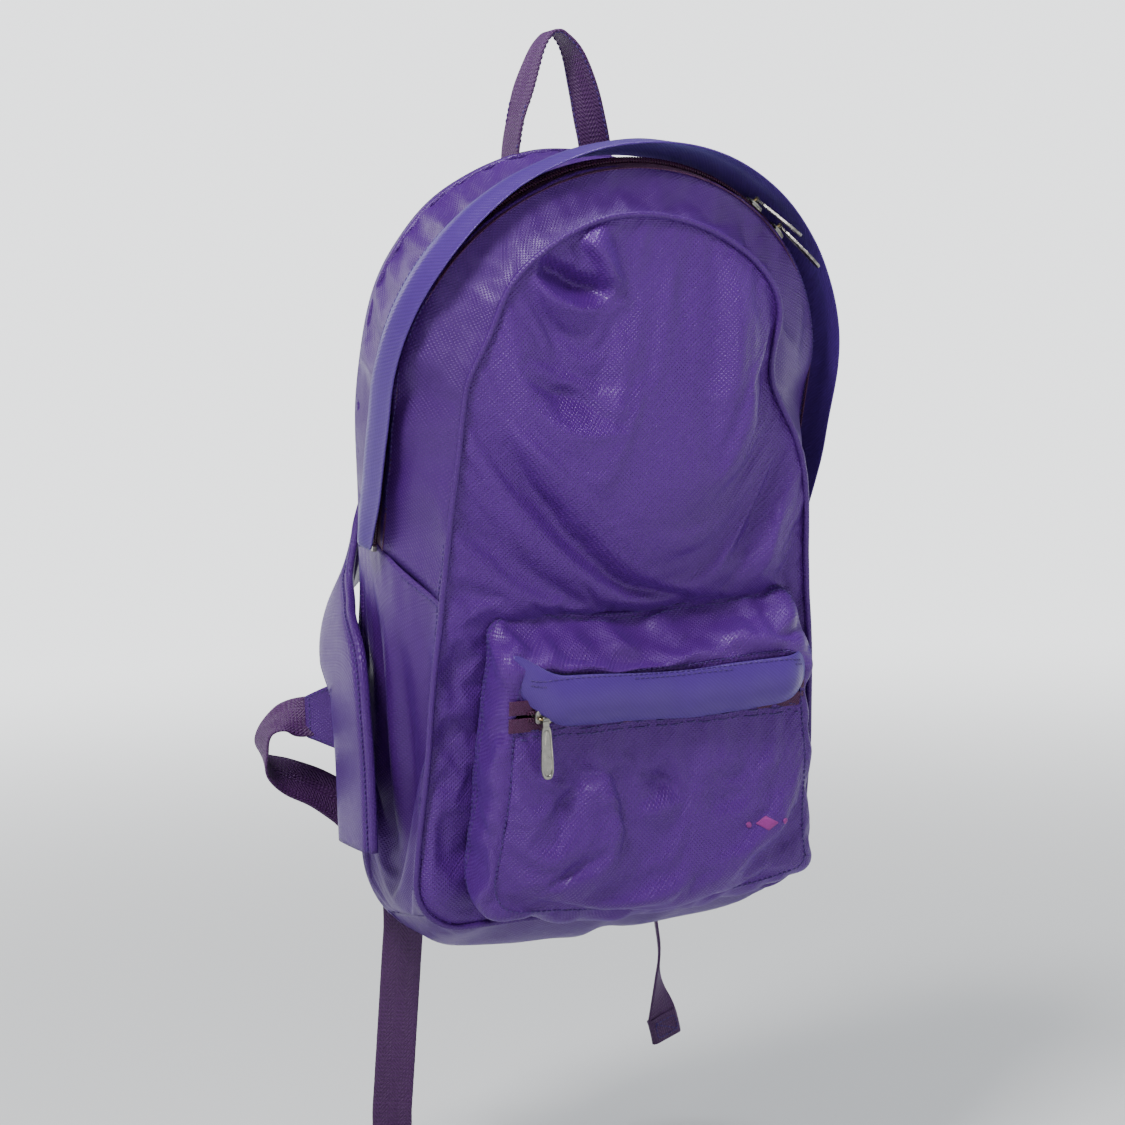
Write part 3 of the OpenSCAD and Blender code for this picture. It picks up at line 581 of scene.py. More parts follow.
def fold(P, points, height, width, lean=0.0):
    """A ridge, or a valley if height is below 0, along a smooth line in panel coordinates.
    It fades towards both ends, and lean makes one flank steeper than the other."""
    line = catmull(points, 8)
    best = np.full(len(P), 1e9)
    side = np.zeros(len(P))
    along = np.zeros(len(P))
    for i in range(len(line) - 1):
        p, d = line[i], line[i + 1] - line[i]
        t = np.clip(((P - p) @ d) / max(d @ d, 1e-9), 0, 1)
        off = P - p - t[:, None] * d
        dist = np.linalg.norm(off, axis=1)
        closer = dist < best
        best = np.where(closer, dist, best)
        side = np.where(closer, np.sign(d[0] * off[:, 1] - d[1] * off[:, 0]), side)
        along = np.where(closer, (i + t) / (len(line) - 1), along)
    w = width * (1 + lean * side)
    return height * np.exp(-(best / w) ** 2) * np.sin(np.pi * np.clip(along, 0.04, 0.96)) ** 0.6


def settle(obj, pinned, frames=24, shrink=-0.02, pressure=0.0, bending=0.6, mass=0.25):
    """Lets cloth find its own small creases between pinned vertices, and keeps the result."""
    group = obj.vertex_groups.new(name="sewn")
    group.add([int(i) for i in pinned], 1.0, "REPLACE")
    mod = obj.modifiers.new("cloth", "CLOTH")
    s = mod.settings
    s.quality = 5
    s.mass = mass
    s.vertex_group_mass = "sewn"
    s.tension_stiffness = s.compression_stiffness = 18
    s.shear_stiffness = 8
    s.bending_stiffness = bending
    s.tension_damping = s.compression_damping = 8
    s.shrink_min = shrink
    s.use_pressure = pressure != 0
    s.uniform_pressure_force = pressure
    mod.collision_settings.use_collision = False
    mod.point_cache.frame_start = 1
    mod.point_cache.frame_end = frames
    scene = bpy.context.scene
    for frame_number in range(1, frames + 1):
        scene.frame_set(frame_number)
    shaped = obj.evaluated_get(bpy.context.evaluated_depsgraph_get())
    count = len(obj.data.vertices)
    flat = np.zeros(count * 3)
    shaped.data.vertices.foreach_get("co", flat)
    obj.modifiers.remove(mod)
    obj.vertex_groups.remove(group)
    obj.data.vertices.foreach_set("co", flat)
    obj.data.update()
    scene.frame_set(1)
    return obj


def frames_along(route):
    """Position, width direction and face normal at each row of [x, y, z, wx, wy, wz] in millimetres."""
    P = route[:, :3]
    T = np.gradient(P, axis=0)
    T /= np.linalg.norm(T, axis=1, keepdims=True)
    W0 = route[:, 3:6] / np.linalg.norm(route[:, 3:6], axis=1, keepdims=True)
    N = np.cross(T, W0)
    N /= np.linalg.norm(N, axis=1, keepdims=True)
    return P, np.cross(N, T), N


def sweep(name, P, W, N, section, material, closed_ends=True, **options):
    """A solid through sections of (across, out) in millimetres. P, W and N are rows in millimetres."""
    n = len(section(0) if callable(section) else section)
    verts = []
    for i, (p, w, k) in enumerate(zip(P, W, N)):
        sec = section(i) if callable(section) else section
        verts.extend(p + w * q[0] + k * q[1] for q in sec)
        n = len(sec)
    verts = np.array(verts) * 0.001
    grid = verts.reshape(len(P), n, 3)
    closed = np.concatenate([grid, grid[:, :1]], 1)
    uv_grid = grid_uvs(closed)
    columns = n + 1
    faces = grid_faces(len(P), columns)
    flat = closed.reshape(-1, 3)
    start, end = 0, (len(P) - 1) * columns
    if closed_ends:
        faces.append(tuple(start + c for c in range(n))[::-1])
        faces.append(tuple(end + c for c in range(n)))
    obj = new_piece(name, flat, faces, uv_grid, material, **options)
    weld = bmesh.new()
    weld.from_mesh(obj.data)
    bmesh.ops.remove_doubles(weld, verts=weld.verts, dist=1e-7)
    bmesh.ops.recalc_face_normals(weld, faces=weld.faces)
    weld.to_mesh(obj.data)
    weld.free()
    return obj


def flat_band(width, thickness):
    """Section of woven webbing: flat faces, rounded selvedges."""
    a, b = width / 2, thickness / 2
    half = [(-a + 0.2 * b, -0.45 * b), (-a + b, -b * 0.95)]
    half += [(x, -b) for x in np.linspace(-a + 2 * b, a - 2 * b, 9)]
    half += [(a - b, -b * 0.95), (a - 0.2 * b, -0.45 * b)]
    return half + [(-x, -y) for x, y in half]


def ribbon(name, route, width, thickness, material="webbing", steps=8, rough=0.25, **options):
    rows = catmull(route, steps)
    P, W, N = frames_along(rows)
    P = P + wander(P * 0.001, rough, 60)
    return sweep(name, P, W, N, flat_band(width, thickness), material, **options)


def round_section(radius, sides=10):
    return [(radius * math.cos(2 * math.pi * k / sides), radius * math.sin(2 * math.pi * k / sides))
            for k in range(sides)]


def surface_of(*objs):
    """Something to look up the nearest point and normal on."""
    graph = bpy.context.evaluated_depsgraph_get()
    verts, faces = [], []
    for obj in objs:
        mesh = obj.evaluated_get(graph).data
        base = len(verts)
        verts.extend(obj.matrix_world @ v.co for v in mesh.vertices)
        faces.extend([base + i for i in p.vertices] for p in mesh.polygons)
    return BVHTree.FromPolygons(verts, faces)


STITCH_LENGTH, STITCH_PITCH, STITCH_R = 0.0025, 0.0034, 0.00048


def stitch(name, lines, surface, body=BAG, material="thread", lift=0.0001, outward=None):
    """Rows of separate thread stitches lying on a surface, along lines of points in metres."""
    verts, faces = [], []
    ring = [(math.cos(k * math.pi / 3), math.sin(k * math.pi / 3)) for k in range(6)]
    for line in lines:
        dense = resample(line, STITCH_PITCH)
        for i in range(len(dense) - 1):
            middle = Vector((dense[i] + dense[i + 1]) / 2)
            found = surface.find_nearest(middle, 0.03)
            if found[0] is None:
                continue
            spot, normal = found[0], found[1]
            if outward is not None and normal.dot(Vector(outward)) < 0:
                normal = -normal
            along = Vector(dense[i + 1] - dense[i]).normalized()
            across = normal.cross(along)
            if across.length < 0.1:
                continue
            across.normalize()
            along = across.cross(normal).normalized()
            base = len(verts)
            for t, r in ((-0.5, 0.35), (-0.34, 1), (0.34, 1), (0.5, 0.35)):
                sunk = lift - (0.00035 if abs(t) > 0.45 else 0)
                c = spot + along * (t * STITCH_LENGTH) + normal * sunk
                verts.extend(c + across * (q[0] * STITCH_R * r) + normal * (q[1] * STITCH_R * r) for q in ring)
            for k in range(3):
                for j in range(6):
                    m = (j + 1) % 6
                    faces.append((base + k * 6 + j, base + k * 6 + m, base + k * 6 + 6 + m, base + k * 6 + 6 + j))
            faces.append(tuple(base + j for j in range(6))[::-1])
            faces.append(tuple(base + 18 + j for j in range(6)))
    return new_piece(name, verts, faces, None, material, body=body, slot=None)

# ---------------------------------------------------------------- cords: the free tails below the ladder locks
TAIL_LEFT = [[-103, 50, -501.5, 0.91, -0.41, 0], [-102, 49, -510, 0.91, -0.41, 0], [-101, 49, -520, 0.92, -0.4, 0],
             [-100, 50, -532, 0.92, -0.4, 0], [-100, 51, -545, 0.92, -0.4, 0], [-101, 52, -558, 0.92, -0.39, 0],
             [-102, 53, -571, 0.93, -0.38, 0], [-103, 54, -584, 0.93, -0.37, 0], [-104, 55, -597, 0.93, -0.36, 0],
             [-105, 56, -610, 0.94, -0.35, 0], [-106, 57, -623, 0.94, -0.34, 0], [-107, 58, -636, 0.94, -0.34, 0],
             [-108, 59, -649, 0.94, -0.33, 0], [-109, 60, -662, 0.95, -0.32, 0], [-109, 61, -675, 0.95, -0.31, 0],
             [-109, 61, -688, 0.95, -0.3, 0]]
TAIL_RIGHT = [[85, 76, -505.5, 0.41, 0.91, 0], [85, 75, -514, 0.42, 0.91, 0], [84, 75, -523, 0.44, 0.9, 0],
              [84, 75, -533, 0.45, 0.89, 0], [84, 76, -543, 0.45, 0.89, 0], [85, 77, -553, 0.43, 0.9, 0],
              [86, 77, -563, 0.4, 0.92, 0], [87, 77, -573, 0.38, 0.92, 0], [88, 77, -583, 0.4, 0.92, 0],
              [88, 77, -593, 0.45, 0.89, 0], [87, 78, -603, 0.5, 0.86, 0], [87, 79, -612, 0.6, 0.8, 0],
              [88, 80, -620, 0.75, 0.66, 0], [89.5, 81, -627, 0.88, 0.47, 0], [91, 82, -633.5, 0.95, 0.3, 0]]
WEB_W, WEB_T = 25, 1.8


def make_tail(side, route, turn, tilt):
    # The end is folded over twice and box-stitched, and the webbing runs on through the fold
    spin = Matrix.Rotation(math.radians(tilt), 3, "Y") @ Matrix.Rotation(math.radians(turn), 3, "Z")
    end = Vector(route[-1][:3])
    way = list(spin @ Vector((1, 0, 0)))
    rows = catmull(route + [list(end + spin @ Vector((0, 0, z))) + way for z in (-5, -10, -15.6)], 4)
    P, W, N = frames_along(rows)
    lock = f"ladder_lock_{side}"
    tail = sweep(f"webbing_tail_{side}", P, W, N, flat_band(WEB_W, WEB_T), "webbing", body=lock,
                 replaces=(f"tail_{side}",), slot="webbing")
    hem = [[0, 0.6, 0.5], [0, 0.2, -3], [0, 0, -8], [0, 0.1, -13], [0, 0.3, -16]]
    route = [list(end + spin @ Vector(p)) + way for p in hem]
    stop = ribbon(f"folded_end_{side}", route, WEB_W + 0.8, 4.6, steps=4, rough=0.1, body=lock,
                  replaces=(f"tail_stop_{side}",), slot="webbing")
    stop_surface = surface_of(stop)
    corners = [(-9, 0, -3), (9, 0, -3), (9, 0, -13), (-9, 0, -13), (-9, 0, -3), (9, 0, -13)]
    rows = []
    for facing in (-3, 3):
        box = [np.array(end + spin @ Vector((c[0], facing, c[2]))) * 0.001 for c in corners]
        rows.append(np.array(box))
    box = stitch(f"box_stitch_{side}", rows, stop_surface, body=lock)


make_tail("left", TAIL_LEFT, -18, 0)
make_tail("right", TAIL_RIGHT, 17, -12)

# ---------------------------------------------------------------- shell of the bag
ACROSS = 97
SHELL_T = 0.0011
shell_noise = dict(size=0.0026, scale=17)
s_line = np.linspace(-1, 1, ACROSS)


def fade(grid_u, power=0.6):
    """1 inside a grid row parameter from 0 to 1, falling to 0 at both ends."""
    return np.clip(np.sin(np.pi * np.clip(grid_u, 0, 1)), 0, 1) ** power


def shared(points):
    """The small wander that neighbouring panels share, so that their seams stay together."""
    return points + wander(points, **shell_noise)


def make_band(name, first, second, rows, swell, ripples, node, shrink):
    """A gusset between two arched seams. swell(s, t) in metres pushes it out."""
    t = np.linspace(0, 1, rows)[:, None, None]
    base = first[None] * (1 - t) + second[None] * t
    S = np.broadcast_to(s_line[None], base.shape[:2])
    T = np.broadcast_to(t[..., 0], base.shape[:2])
    normal = grid_normals(base)
    centre = np.array([0, -0.06, -0.25])
    flip = np.sign(((base - centre) * normal).sum(-1, keepdims=True).mean())
    normal = normal * flip
    P = base + normal * (swell(S, T) * fade(T, 0.7))[..., None]
    P = shared(P)
    small = wander(P, 1.0, ripples, 4.0)[..., :1]
    P = P + normal * small * 0.0022 * (fade(T, 0.8) * (1 - np.abs(S) ** 8))[..., None]
    faces = grid_faces(rows, ACROSS)
    if flip < 0:
        faces = [f[::-1] for f in faces]
    obj = new_piece(name, P.reshape(-1, 3), faces, grid_uvs(base), "gusset", replaces=(node,))
    index = np.arange(rows * ACROSS).reshape(rows, ACROSS)
    edge = np.unique(np.concatenate([index[0], index[-1], index[:, 0], index[:, -1]]))
    settle(obj, edge, 22, shrink)
    return thicken(obj, SHELL_T)


REAR_ROWS, FRONT_ROWS = 17, 11
zip_rear, zip_front = zip_arch(s_line, ZIP_HALF), zip_arch(s_line, -ZIP_HALF)
rear_band = make_band(
    "rear_gusset", back_arch(s_line), zip_rear, REAR_ROWS,
    lambda s, t: 0.004 * (1 - s ** 4) - 0.004 * bump(s, -0.22, 0.12) - 0.003 * bump(s, 0.30, 0.1), 30, "rear_band", -0.018)
front_band = make_band(
    "front_gusset", zip_front, front_arch(s_line), FRONT_ROWS,
    lambda s, t: -0.002 + 0.002 * bump(s, -0.5, 0.3) - 0.005 * bump(s, 0.45, 0.2), 34, "front_band", -0.02)

# Lower gusset: its top edge follows the ends of both bands and of the zip
KNOTS = np.array([0, 0.4, 0.55, 1.0])
v_side = np.linspace(0, SIDE_END, 41)
v_base = np.linspace(SIDE_END, LOWER, 17)
T_LOWER = np.unique(np.concatenate([np.linspace(0, 0.4, REAR_ROWS), np.linspace(0.4, 0.55, 6),
                                    np.linspace(0.55, 1, FRONT_ROWS)]))


def lower_gusset(v, side):
    """Points of the lower gusset, one row for each depth v and one column for each T_LOWER."""
    bx, bh = lower_half(v, *BACK_LOWER)
    fx, fh = front_ring(lower_half(v, *FRONT_LOWER), side)
    back, front = on_plane(BACK_PLANE, side * bx, bh), on_plane(FRONT_PLANE, fx, fh)
    t = T_LOWER[None, :, None]
    P = back[:, None] * (1 - t) + front[:, None] * t
    edge = [float(side)]
    start = np.stack([back_arch(np.array(edge))[0], zip_arch(np.array(edge), ZIP_HALF)[0],
                      zip_arch(np.array(edge), -ZIP_HALF)[0], front_arch(np.array(edge))[0]])
    top = np.stack([np.interp(T_LOWER, KNOTS, start[:, k]) for k in range(3)], 1)
    w = np.clip(1 - np.asarray(v) / SIDE, 0, 1)[:, None, None] ** 2
    first = P[:1] * 0 + (lambda b, f: b * (1 - t) + f * t)(start[:1][None], start[3:][None])
    P = P + (top[None] - first) * w
    depth = np.clip(np.sin(np.pi * np.clip(np.asarray(v) / SIDE_END, 0, 1)), 0, 1)[:, None]
    crease = np.sin(np.pi * T_LOWER)[None] ** 1.4 * (1 + 0.35 * bump(T_LOWER, 0.42, 0.08)[None])
    P[..., 0] -= side * 0.001 * GUSSET_FOLD * depth * crease
    return P


def make_side(side):
    name = "left" if side < 0 else "right"
    base = lower_gusset(v_side, side)
    normal = grid_normals(base)
    flip = np.sign((normal[..., 0] * side).mean())
    normal = normal * flip
    V = np.broadcast_to((v_side / SIDE_END)[:, None], base.shape[:2])
    T = np.broadcast_to(T_LOWER[None], base.shape[:2])
    inner = fade(T, 0.8) * np.clip(V * 6, 0, 1) * np.clip((1 - V) * 8, 0, 1)
    P = shared(base)
    drape = wander(P * np.array([1, 1, 0.45]), 1.0, 26, 9.0 + side)[..., 0]
    drop = 0.0035 * np.sin(26 * T + 5 * V + side) * bump(V, 0.35, 0.3)
    P = P + normal * ((drape * 0.0035 + drop) * inner)[..., None]
    faces = grid_faces(*base.shape[:2])
    if flip < 0:
        faces = [f[::-1] for f in faces]
    obj = new_piece(f"side_gusset_{name}", P.reshape(-1, 3), faces, grid_uvs(base), "gusset",
                    replaces=(f"side_panel_{name}",))
    index = np.arange(base.shape[0] * base.shape[1]).reshape(base.shape[:2])
    settle(obj, np.unique(np.concatenate([index[0], index[-1], index[:, 0], index[:, -1]])), 24, -0.02)
    return thicken(obj, SHELL_T)


side_left, side_right = make_side(-1), make_side(1)


def make_bottom():
    right = lower_gusset(v_base, 1)
    left = lower_gusset(v_base, -1)
    base = np.concatenate([left, right[::-1][1:]], 0)
    normal = grid_normals(base)
    flip = -np.sign(normal[..., 2].mean())
    normal = normal * flip
    V = np.linspace(0, 1, base.shape[0])[:, None]
    T = T_LOWER[None]
    inner = fade(T, 0.8) * fade(V, 0.8)
    P = shared(base)
    sag = 0.007 * inner + wander(P, 1.0, 28, 3.0)[..., 0] * 0.004 * inner
    P = P + normal * sag[..., None]
    faces = grid_faces(*base.shape[:2])
    if flip < 0:
        faces = [f[::-1] for f in faces]
    obj = new_piece("base_gusset", P.reshape(-1, 3), faces, grid_uvs(base), "gusset", replaces=("bottom_panel",))
    index = np.arange(base.shape[0] * base.shape[1]).reshape(base.shape[:2])
    settle(obj, np.unique(np.concatenate([index[0], index[-1], index[:, 0], index[:, -1]])), 20, -0.02)
    return thicken(obj, SHELL_T)


bottom = make_bottom()


def ring_outline(upper, lower, shape=None):
    """Closed outline of a panel, sampled exactly where its gussets are."""
    ux, uh = upper_half(np.abs(s_line), *upper)
    ux = ux * np.sign(s_line)
    v = np.concatenate([v_side[1:], v_base[1:]])
    lx, lh = lower_half(v, *lower)
    x = np.concatenate([ux, lx, -lx[::-1][1:]])
    h = np.concatenate([uh, lh, lh[::-1][1:]])
    return np.stack(shape(x, h) if shape else (x, h), 1)


def pocket_spread(P):
    """1 under the pocket, so that its base lies on the panel, falling to 0 around it."""
    dx = np.maximum(np.abs(P[:, 0] - POCKET_X) - 92, 0)
    dh = np.maximum(POCKET_TOP + 8 - P[:, 1], 0) + np.maximum(P[:, 1] - POCKET_FOOT, 0)
    return np.exp(-((dx / 16) ** 2 + (dh / 16) ** 2))


def front_relief(P, outline):
    """How far the front panel stands out, in millimetres."""
    x, h = P[:, 0], P[:, 1]
    edge = ramp(border_distance(P, outline), 0, 26)
    near_edge = ramp(border_distance(P, outline), 0, 9)
    f = 9 * bump(h, 150, 95) * bump(x, 5, 85)
    f += 13 * bump(x, 56, 30) * bump(h, 84, 62)
    f -= 8 * bump(x, -52, 34) * bump(h, 76, 32)
    f += fold(P, [(-84, 132), (-52, 166), (-10, 206), (50, 230)], -9.5, 12, 0.45)
    f += fold(P, [(-84, 112), (-40, 140), (10, 174), (62, 204)], 6.5, 15, -0.3)
    f += fold(P, [(-96, 168), (-66, 196), (-30, 216)], -3.5, 9, 0.3)
    f += fold(P, [(-30, 214), (4, 220), (44, 222)], 3.0, 6)
    f += fold(P, [(80, 50), (72, 104), (50, 158), (16, 196)], 6.0, 13, 0.3)
    f += fold(P, [(92, 140), (74, 176), (56, 224)], -5.0, 9, -0.3)
    f += fold(P, [(-62, 88), (-20, 92), (24, 84)], -3.2, 8)
    f += fold(P, [(-70, 104), (-44, 98), (-24, 106)], -3.0, 6, 0.3)
    f += fold(P, [(-16, 52), (-8, 96), (-24, 142)], 4.2, 9, 0.25)
    f += fold(P, [(16, 26), (30, 82), (24, 140)], -3.4, 11)
    f += fold(P, [(100, 170), (90, 200), (92, 228)], 5.0, 7, 0.3)
    f += fold(P, [(112, 196), (104, 214), (106, 232)], -3.4, 5)
    for height, width, line in (
            (-4.6, 4.5, [(-78, 128), (-46, 164), (-6, 202), (46, 226)]), (3.6, 4.0, [(-80, 116), (-44, 150), (0, 190)]),
            (-3.4, 3.6, [(-70, 92), (-40, 100), (-8, 122)]), (2.8, 3.4, [(-74, 84), (-44, 90), (-14, 108)]),
            (-3.6, 4.0, [(96, 132), (80, 168), (68, 214)]), (3.2, 3.6, [(104, 150), (90, 184), (82, 220)]),
            (-3.0, 3.6, [(66, 60), (60, 104), (44, 146)]), (-2.6, 3.2, [(-12, 60), (-6, 92), (-18, 126)])):
        f += fold(P, line, height, width, 0.4)
    f *= edge
    f += near_edge * fold(P, [(-76, 20), (-50, 30), (-34, 36), (-18, 38)], -12.5, 5.0, 0.5)
    f += near_edge * fold(P, [(-46, 5), (-34, 14), (-24, 28), (-15, 46)], 9.5, 6.5, -0.35)
    f += near_edge * fold(P, [(-68, 40), (-48, 46), (-26, 50)], 6.0, 6.0, 0.2)
    f += near_edge * fold(P, [(-20, 8), (-8, 24), (-4, 48)], -2.2, 6.0)
    for k, (a, b) in enumerate((((-112, 210), (-84, 214)), ((-108, 176), (-80, 186)), ((-118, 262), (-96, 250)),
                                ((-124, 330), (-108, 320)), ((-120, 296), (-104, 292)))):
        f += near_edge * fold(P, [a, ((a[0] + b[0]) / 2, (a[1] + b[1]) / 2 + 1), b], -2.2 - 0.3 * (k % 2), 5.5)
    lower = (1 - pocket_spread(P)) * ramp(h, 290, 380)
    f += near_edge * 5 * lower
    return f * (1 - 0.9 * pocket_spread(P) * ramp(h, 205, 240))


def make_front():
    outline = ring_outline(FRONT_UPPER, FRONT_LOWER, front_shape)
    P, faces = planar(outline, 3.6)
    # The foot sags with front_shape, so the panel follows it
    relief = front_relief(P, outline)
    points = shared(on_plane(FRONT_PLANE, P[:, 0], P[:, 1], -relief))
    fine = wander(points, 1.0, 42, 6.0)[:, 0] * 1.3 * ramp(border_distance(P, outline), 0, 12)
    points = points + np.array([0, -math.cos(FRONT_PLANE[2]), -math.sin(FRONT_PLANE[2])]) * fine[:, None] * 0.001
    faces = [f if (P[f[1]] - P[f[0]])[0] * (P[f[2]] - P[f[0]])[1] - (P[f[1]] - P[f[0]])[1] * (
        P[f[2]] - P[f[0]])[0] < 0 else f[::-1] for f in faces]
    obj = new_piece("front_panel_cloth", points, faces, P * 0.001, "shell", replaces=("front_panel",))
    sewn = set(range(len(outline)))
    under = pocket_spread(P) * ramp(P[:, 1], 222, 232)
    sewn.update(np.nonzero(under > 0.97)[0].tolist())
    settle(obj, sorted(sewn), 26, -0.022, bending=0.9)
    return thicken(obj, SHELL_T), outline


front_cloth, front_outline = make_front()


def make_piping():
    outline = ring_outline(FRONT_UPPER, FRONT_LOWER, front_shape)
    P = shared(on_plane(FRONT_PLANE, outline[:, 0], outline[:, 1], -1.4))
    start = len(s_line) + len(v_side) + len(v_base) - 3
    P = np.roll(P, -start, axis=0)
    P = np.concatenate([P, P[:1]])
    P = resample(P, 0.0035) * 1000
    T = np.gradient(P, axis=0)
    T[0] = T[-1] = P[1] - P[-2]
    T /= np.linalg.norm(T, axis=1, keepdims=True)
    W = np.tile(np.array([0, math.cos(FRONT_PLANE[2]), math.sin(FRONT_PLANE[2])]), (len(P), 1))
    N = np.cross(T, W)
    N /= np.linalg.norm(N, axis=1, keepdims=True)
    return sweep("front_corded_piping", P, W, N, round_section(1.9, 12), "gusset", replaces=("front_piping",))


piping = make_piping()


def make_back():
    outline = ring_outline(BACK_UPPER, BACK_LOWER)
    P, faces = planar(outline, 6)
    d = border_distance(P, outline)
    puff = 7 * ramp(d, 2, 34)
    # Quilting lines across the pad
    for h in (150, 230, 310, 390):
        puff -= 3.2 * bump(P[:, 1] + 0.0012 * P[:, 0] ** 2, h, 5) * ramp(d, 14, 30)
    points = shared(on_plane(BACK_PLANE, P[:, 0], P[:, 1], puff))
    faces = [f if (P[f[1]] - P[f[0]])[0] * (P[f[2]] - P[f[0]])[1] - (P[f[1]] - P[f[0]])[1] * (
        P[f[2]] - P[f[0]])[0] > 0 else f[::-1] for f in faces]
    obj = new_piece("back_pad", points, faces, P * 0.001, "gusset",
                    replaces=("back_panel", "back_foam", "back_lining"), slot="shell_fabric")
    thicken(obj, 0.0065)
    return obj


back_pad = make_back()

# ---------------------------------------------------------------- front pocket
def pocket_walls(k):
    """Rows of (x, h, d) round the pocket from its base to its face, for angles k of a full turn."""
    # Outline of the base: round-cornered, wider at the foot, swollen at the foot
    rows = []
    for inset, top_inset, d in ((0, 0, 1.2), (-1.5, 1.0, 8), (-2.5, 5, 17), (-1.8, 10, 25), (0.4, 17, 30.5),
                                (3.0, 23, 33.4), (6.5, 29, 34.6)):
        w0, w1 = 97 - inset, 108 - inset
        h0, h1 = POCKET_TOP + top_inset, POCKET_FOOT - inset * 0.9
        loop = []
        for side, w, h, r, a0 in ((1, w1, h1, 10, 0), (-1, w1, h1, 19, 90), (-1, w0, h0, 15, 180), (1, w0, h0, 13, 270)):
            r = max(4, r - inset * 0.4)
            cx, ch = side * (w - r), h - r if h > 300 else h + r
            loop += [(cx + r * math.cos(math.radians(a)), ch + r * math.sin(math.radians(a)))
                     for a in np.linspace(a0, a0 + 90, 12)]
        loop = np.array(loop + loop[:1])
        along = np.concatenate([[0], np.cumsum(np.linalg.norm(np.diff(loop, axis=0), axis=1))])
        x = np.interp(k * along[-1], along, loop[:, 0])
        h = np.interp(k * along[-1], along, loop[:, 1])
        # The foot hangs in a curve and the top seam dips at its two ends
        h = h + 9 * ramp(h, 330, 402) * bump(x, -6, 62) - 5 * ramp(h, 330, 402) * bump(x, 104, 30)
        h = h + 6 * ramp(-h, -300, -228) * (bump(x, -8, 55) - 0.4) - 3 * ramp(-h, -300, -228) * bump(x, 92, 20)
        lean = ramp(-h, -330, -232)
        depth = d - 3.5 * lean * (d / 34) * bump(x, -86, 30)
        rows.append(np.stack([x + POCKET_X, h, depth], 1))
    return np.array(rows)


POCKET_N = 168
pocket_k = np.arange(POCKET_N) / POCKET_N
POCKET_ROWS = pocket_walls(pocket_k)


def pocket_wander(points):
    return points + wander(points, 0.0024, 22, 2.0)


def make_pocket_walls():
    rows = catmull(POCKET_ROWS.reshape(len(POCKET_ROWS), -1), 2).reshape(-1, POCKET_N, 3)
    base = on_plane(FRONT_PLANE, rows[..., 0], rows[..., 1], -rows[..., 2])
    closed = np.concatenate([base, base[:, :1]], 1)
    normal = grid_normals(closed)
    centre = closed.reshape(-1, 3).mean(0) + np.array([0, 0.03, 0])
    flip = np.sign(((closed - centre) * normal).sum(-1).mean())
    normal = normal * flip
    t = np.linspace(0, 1, len(rows))[:, None]
    P = pocket_wander(closed)
    crumple = wander(P, 1.0, 34, 12.0)[..., 0] * 0.0042 + wander(P, 1.0, 80, 5.0)[..., 0] * 0.0034
    top = ramp(-np.concatenate([rows, rows[:, :1]], 1)[..., 1], -300, -240)
    inner = fade(t, 0.6)
    P = P + normal * (crumple * inner * (0.7 + 0.6 * top))[..., None]
    P[:, -1] = P[:, 0]
    faces = grid_faces(len(rows), POCKET_N + 1)
    if flip < 0:
        faces = [f[::-1] for f in faces]
    obj = new_piece("pocket_side_gusset", P.reshape(-1, 3), faces, grid_uvs(closed), "shell",
                    replaces=("pocket_gusset",))
    index = np.arange(P.shape[0] * P.shape[1]).reshape(P.shape[:2])
    settle(obj, np.unique(np.concatenate([index[0], index[-1], index[:, 0], index[:, -1]])), 20, -0.02)
    return thicken(obj, SHELL_T)


def clipped(loop, limit, keep_below):
    """The part of a closed loop of (x, h) on one side of a depth, closed by a straight edge."""
    out = []
    n = len(loop)
    for i in range(n):
        p, q = loop[i], loop[(i + 1) % n]
        p_in, q_in = (p[1] > limit) == keep_below, (q[1] > limit) == keep_below
        if p_in:
            out.append(p)
        if p_in != q_in:
            t = (limit - p[1]) / (q[1] - p[1])
            out.append(p + t * (q - p))
    out = np.array(out)
    # Points along the straight edge too, so that it can bend
    gaps = np.linalg.norm(np.roll(out, -1, axis=0) - out, axis=1)
    i = int(gaps.argmax())
    a, b = out[i], out[(i + 1) % len(out)]
    fill = [a + (b - a) * t for t in np.linspace(0, 1, 42)[1:-1]]
    return np.concatenate([out[:i + 1], fill, out[i + 1:]])


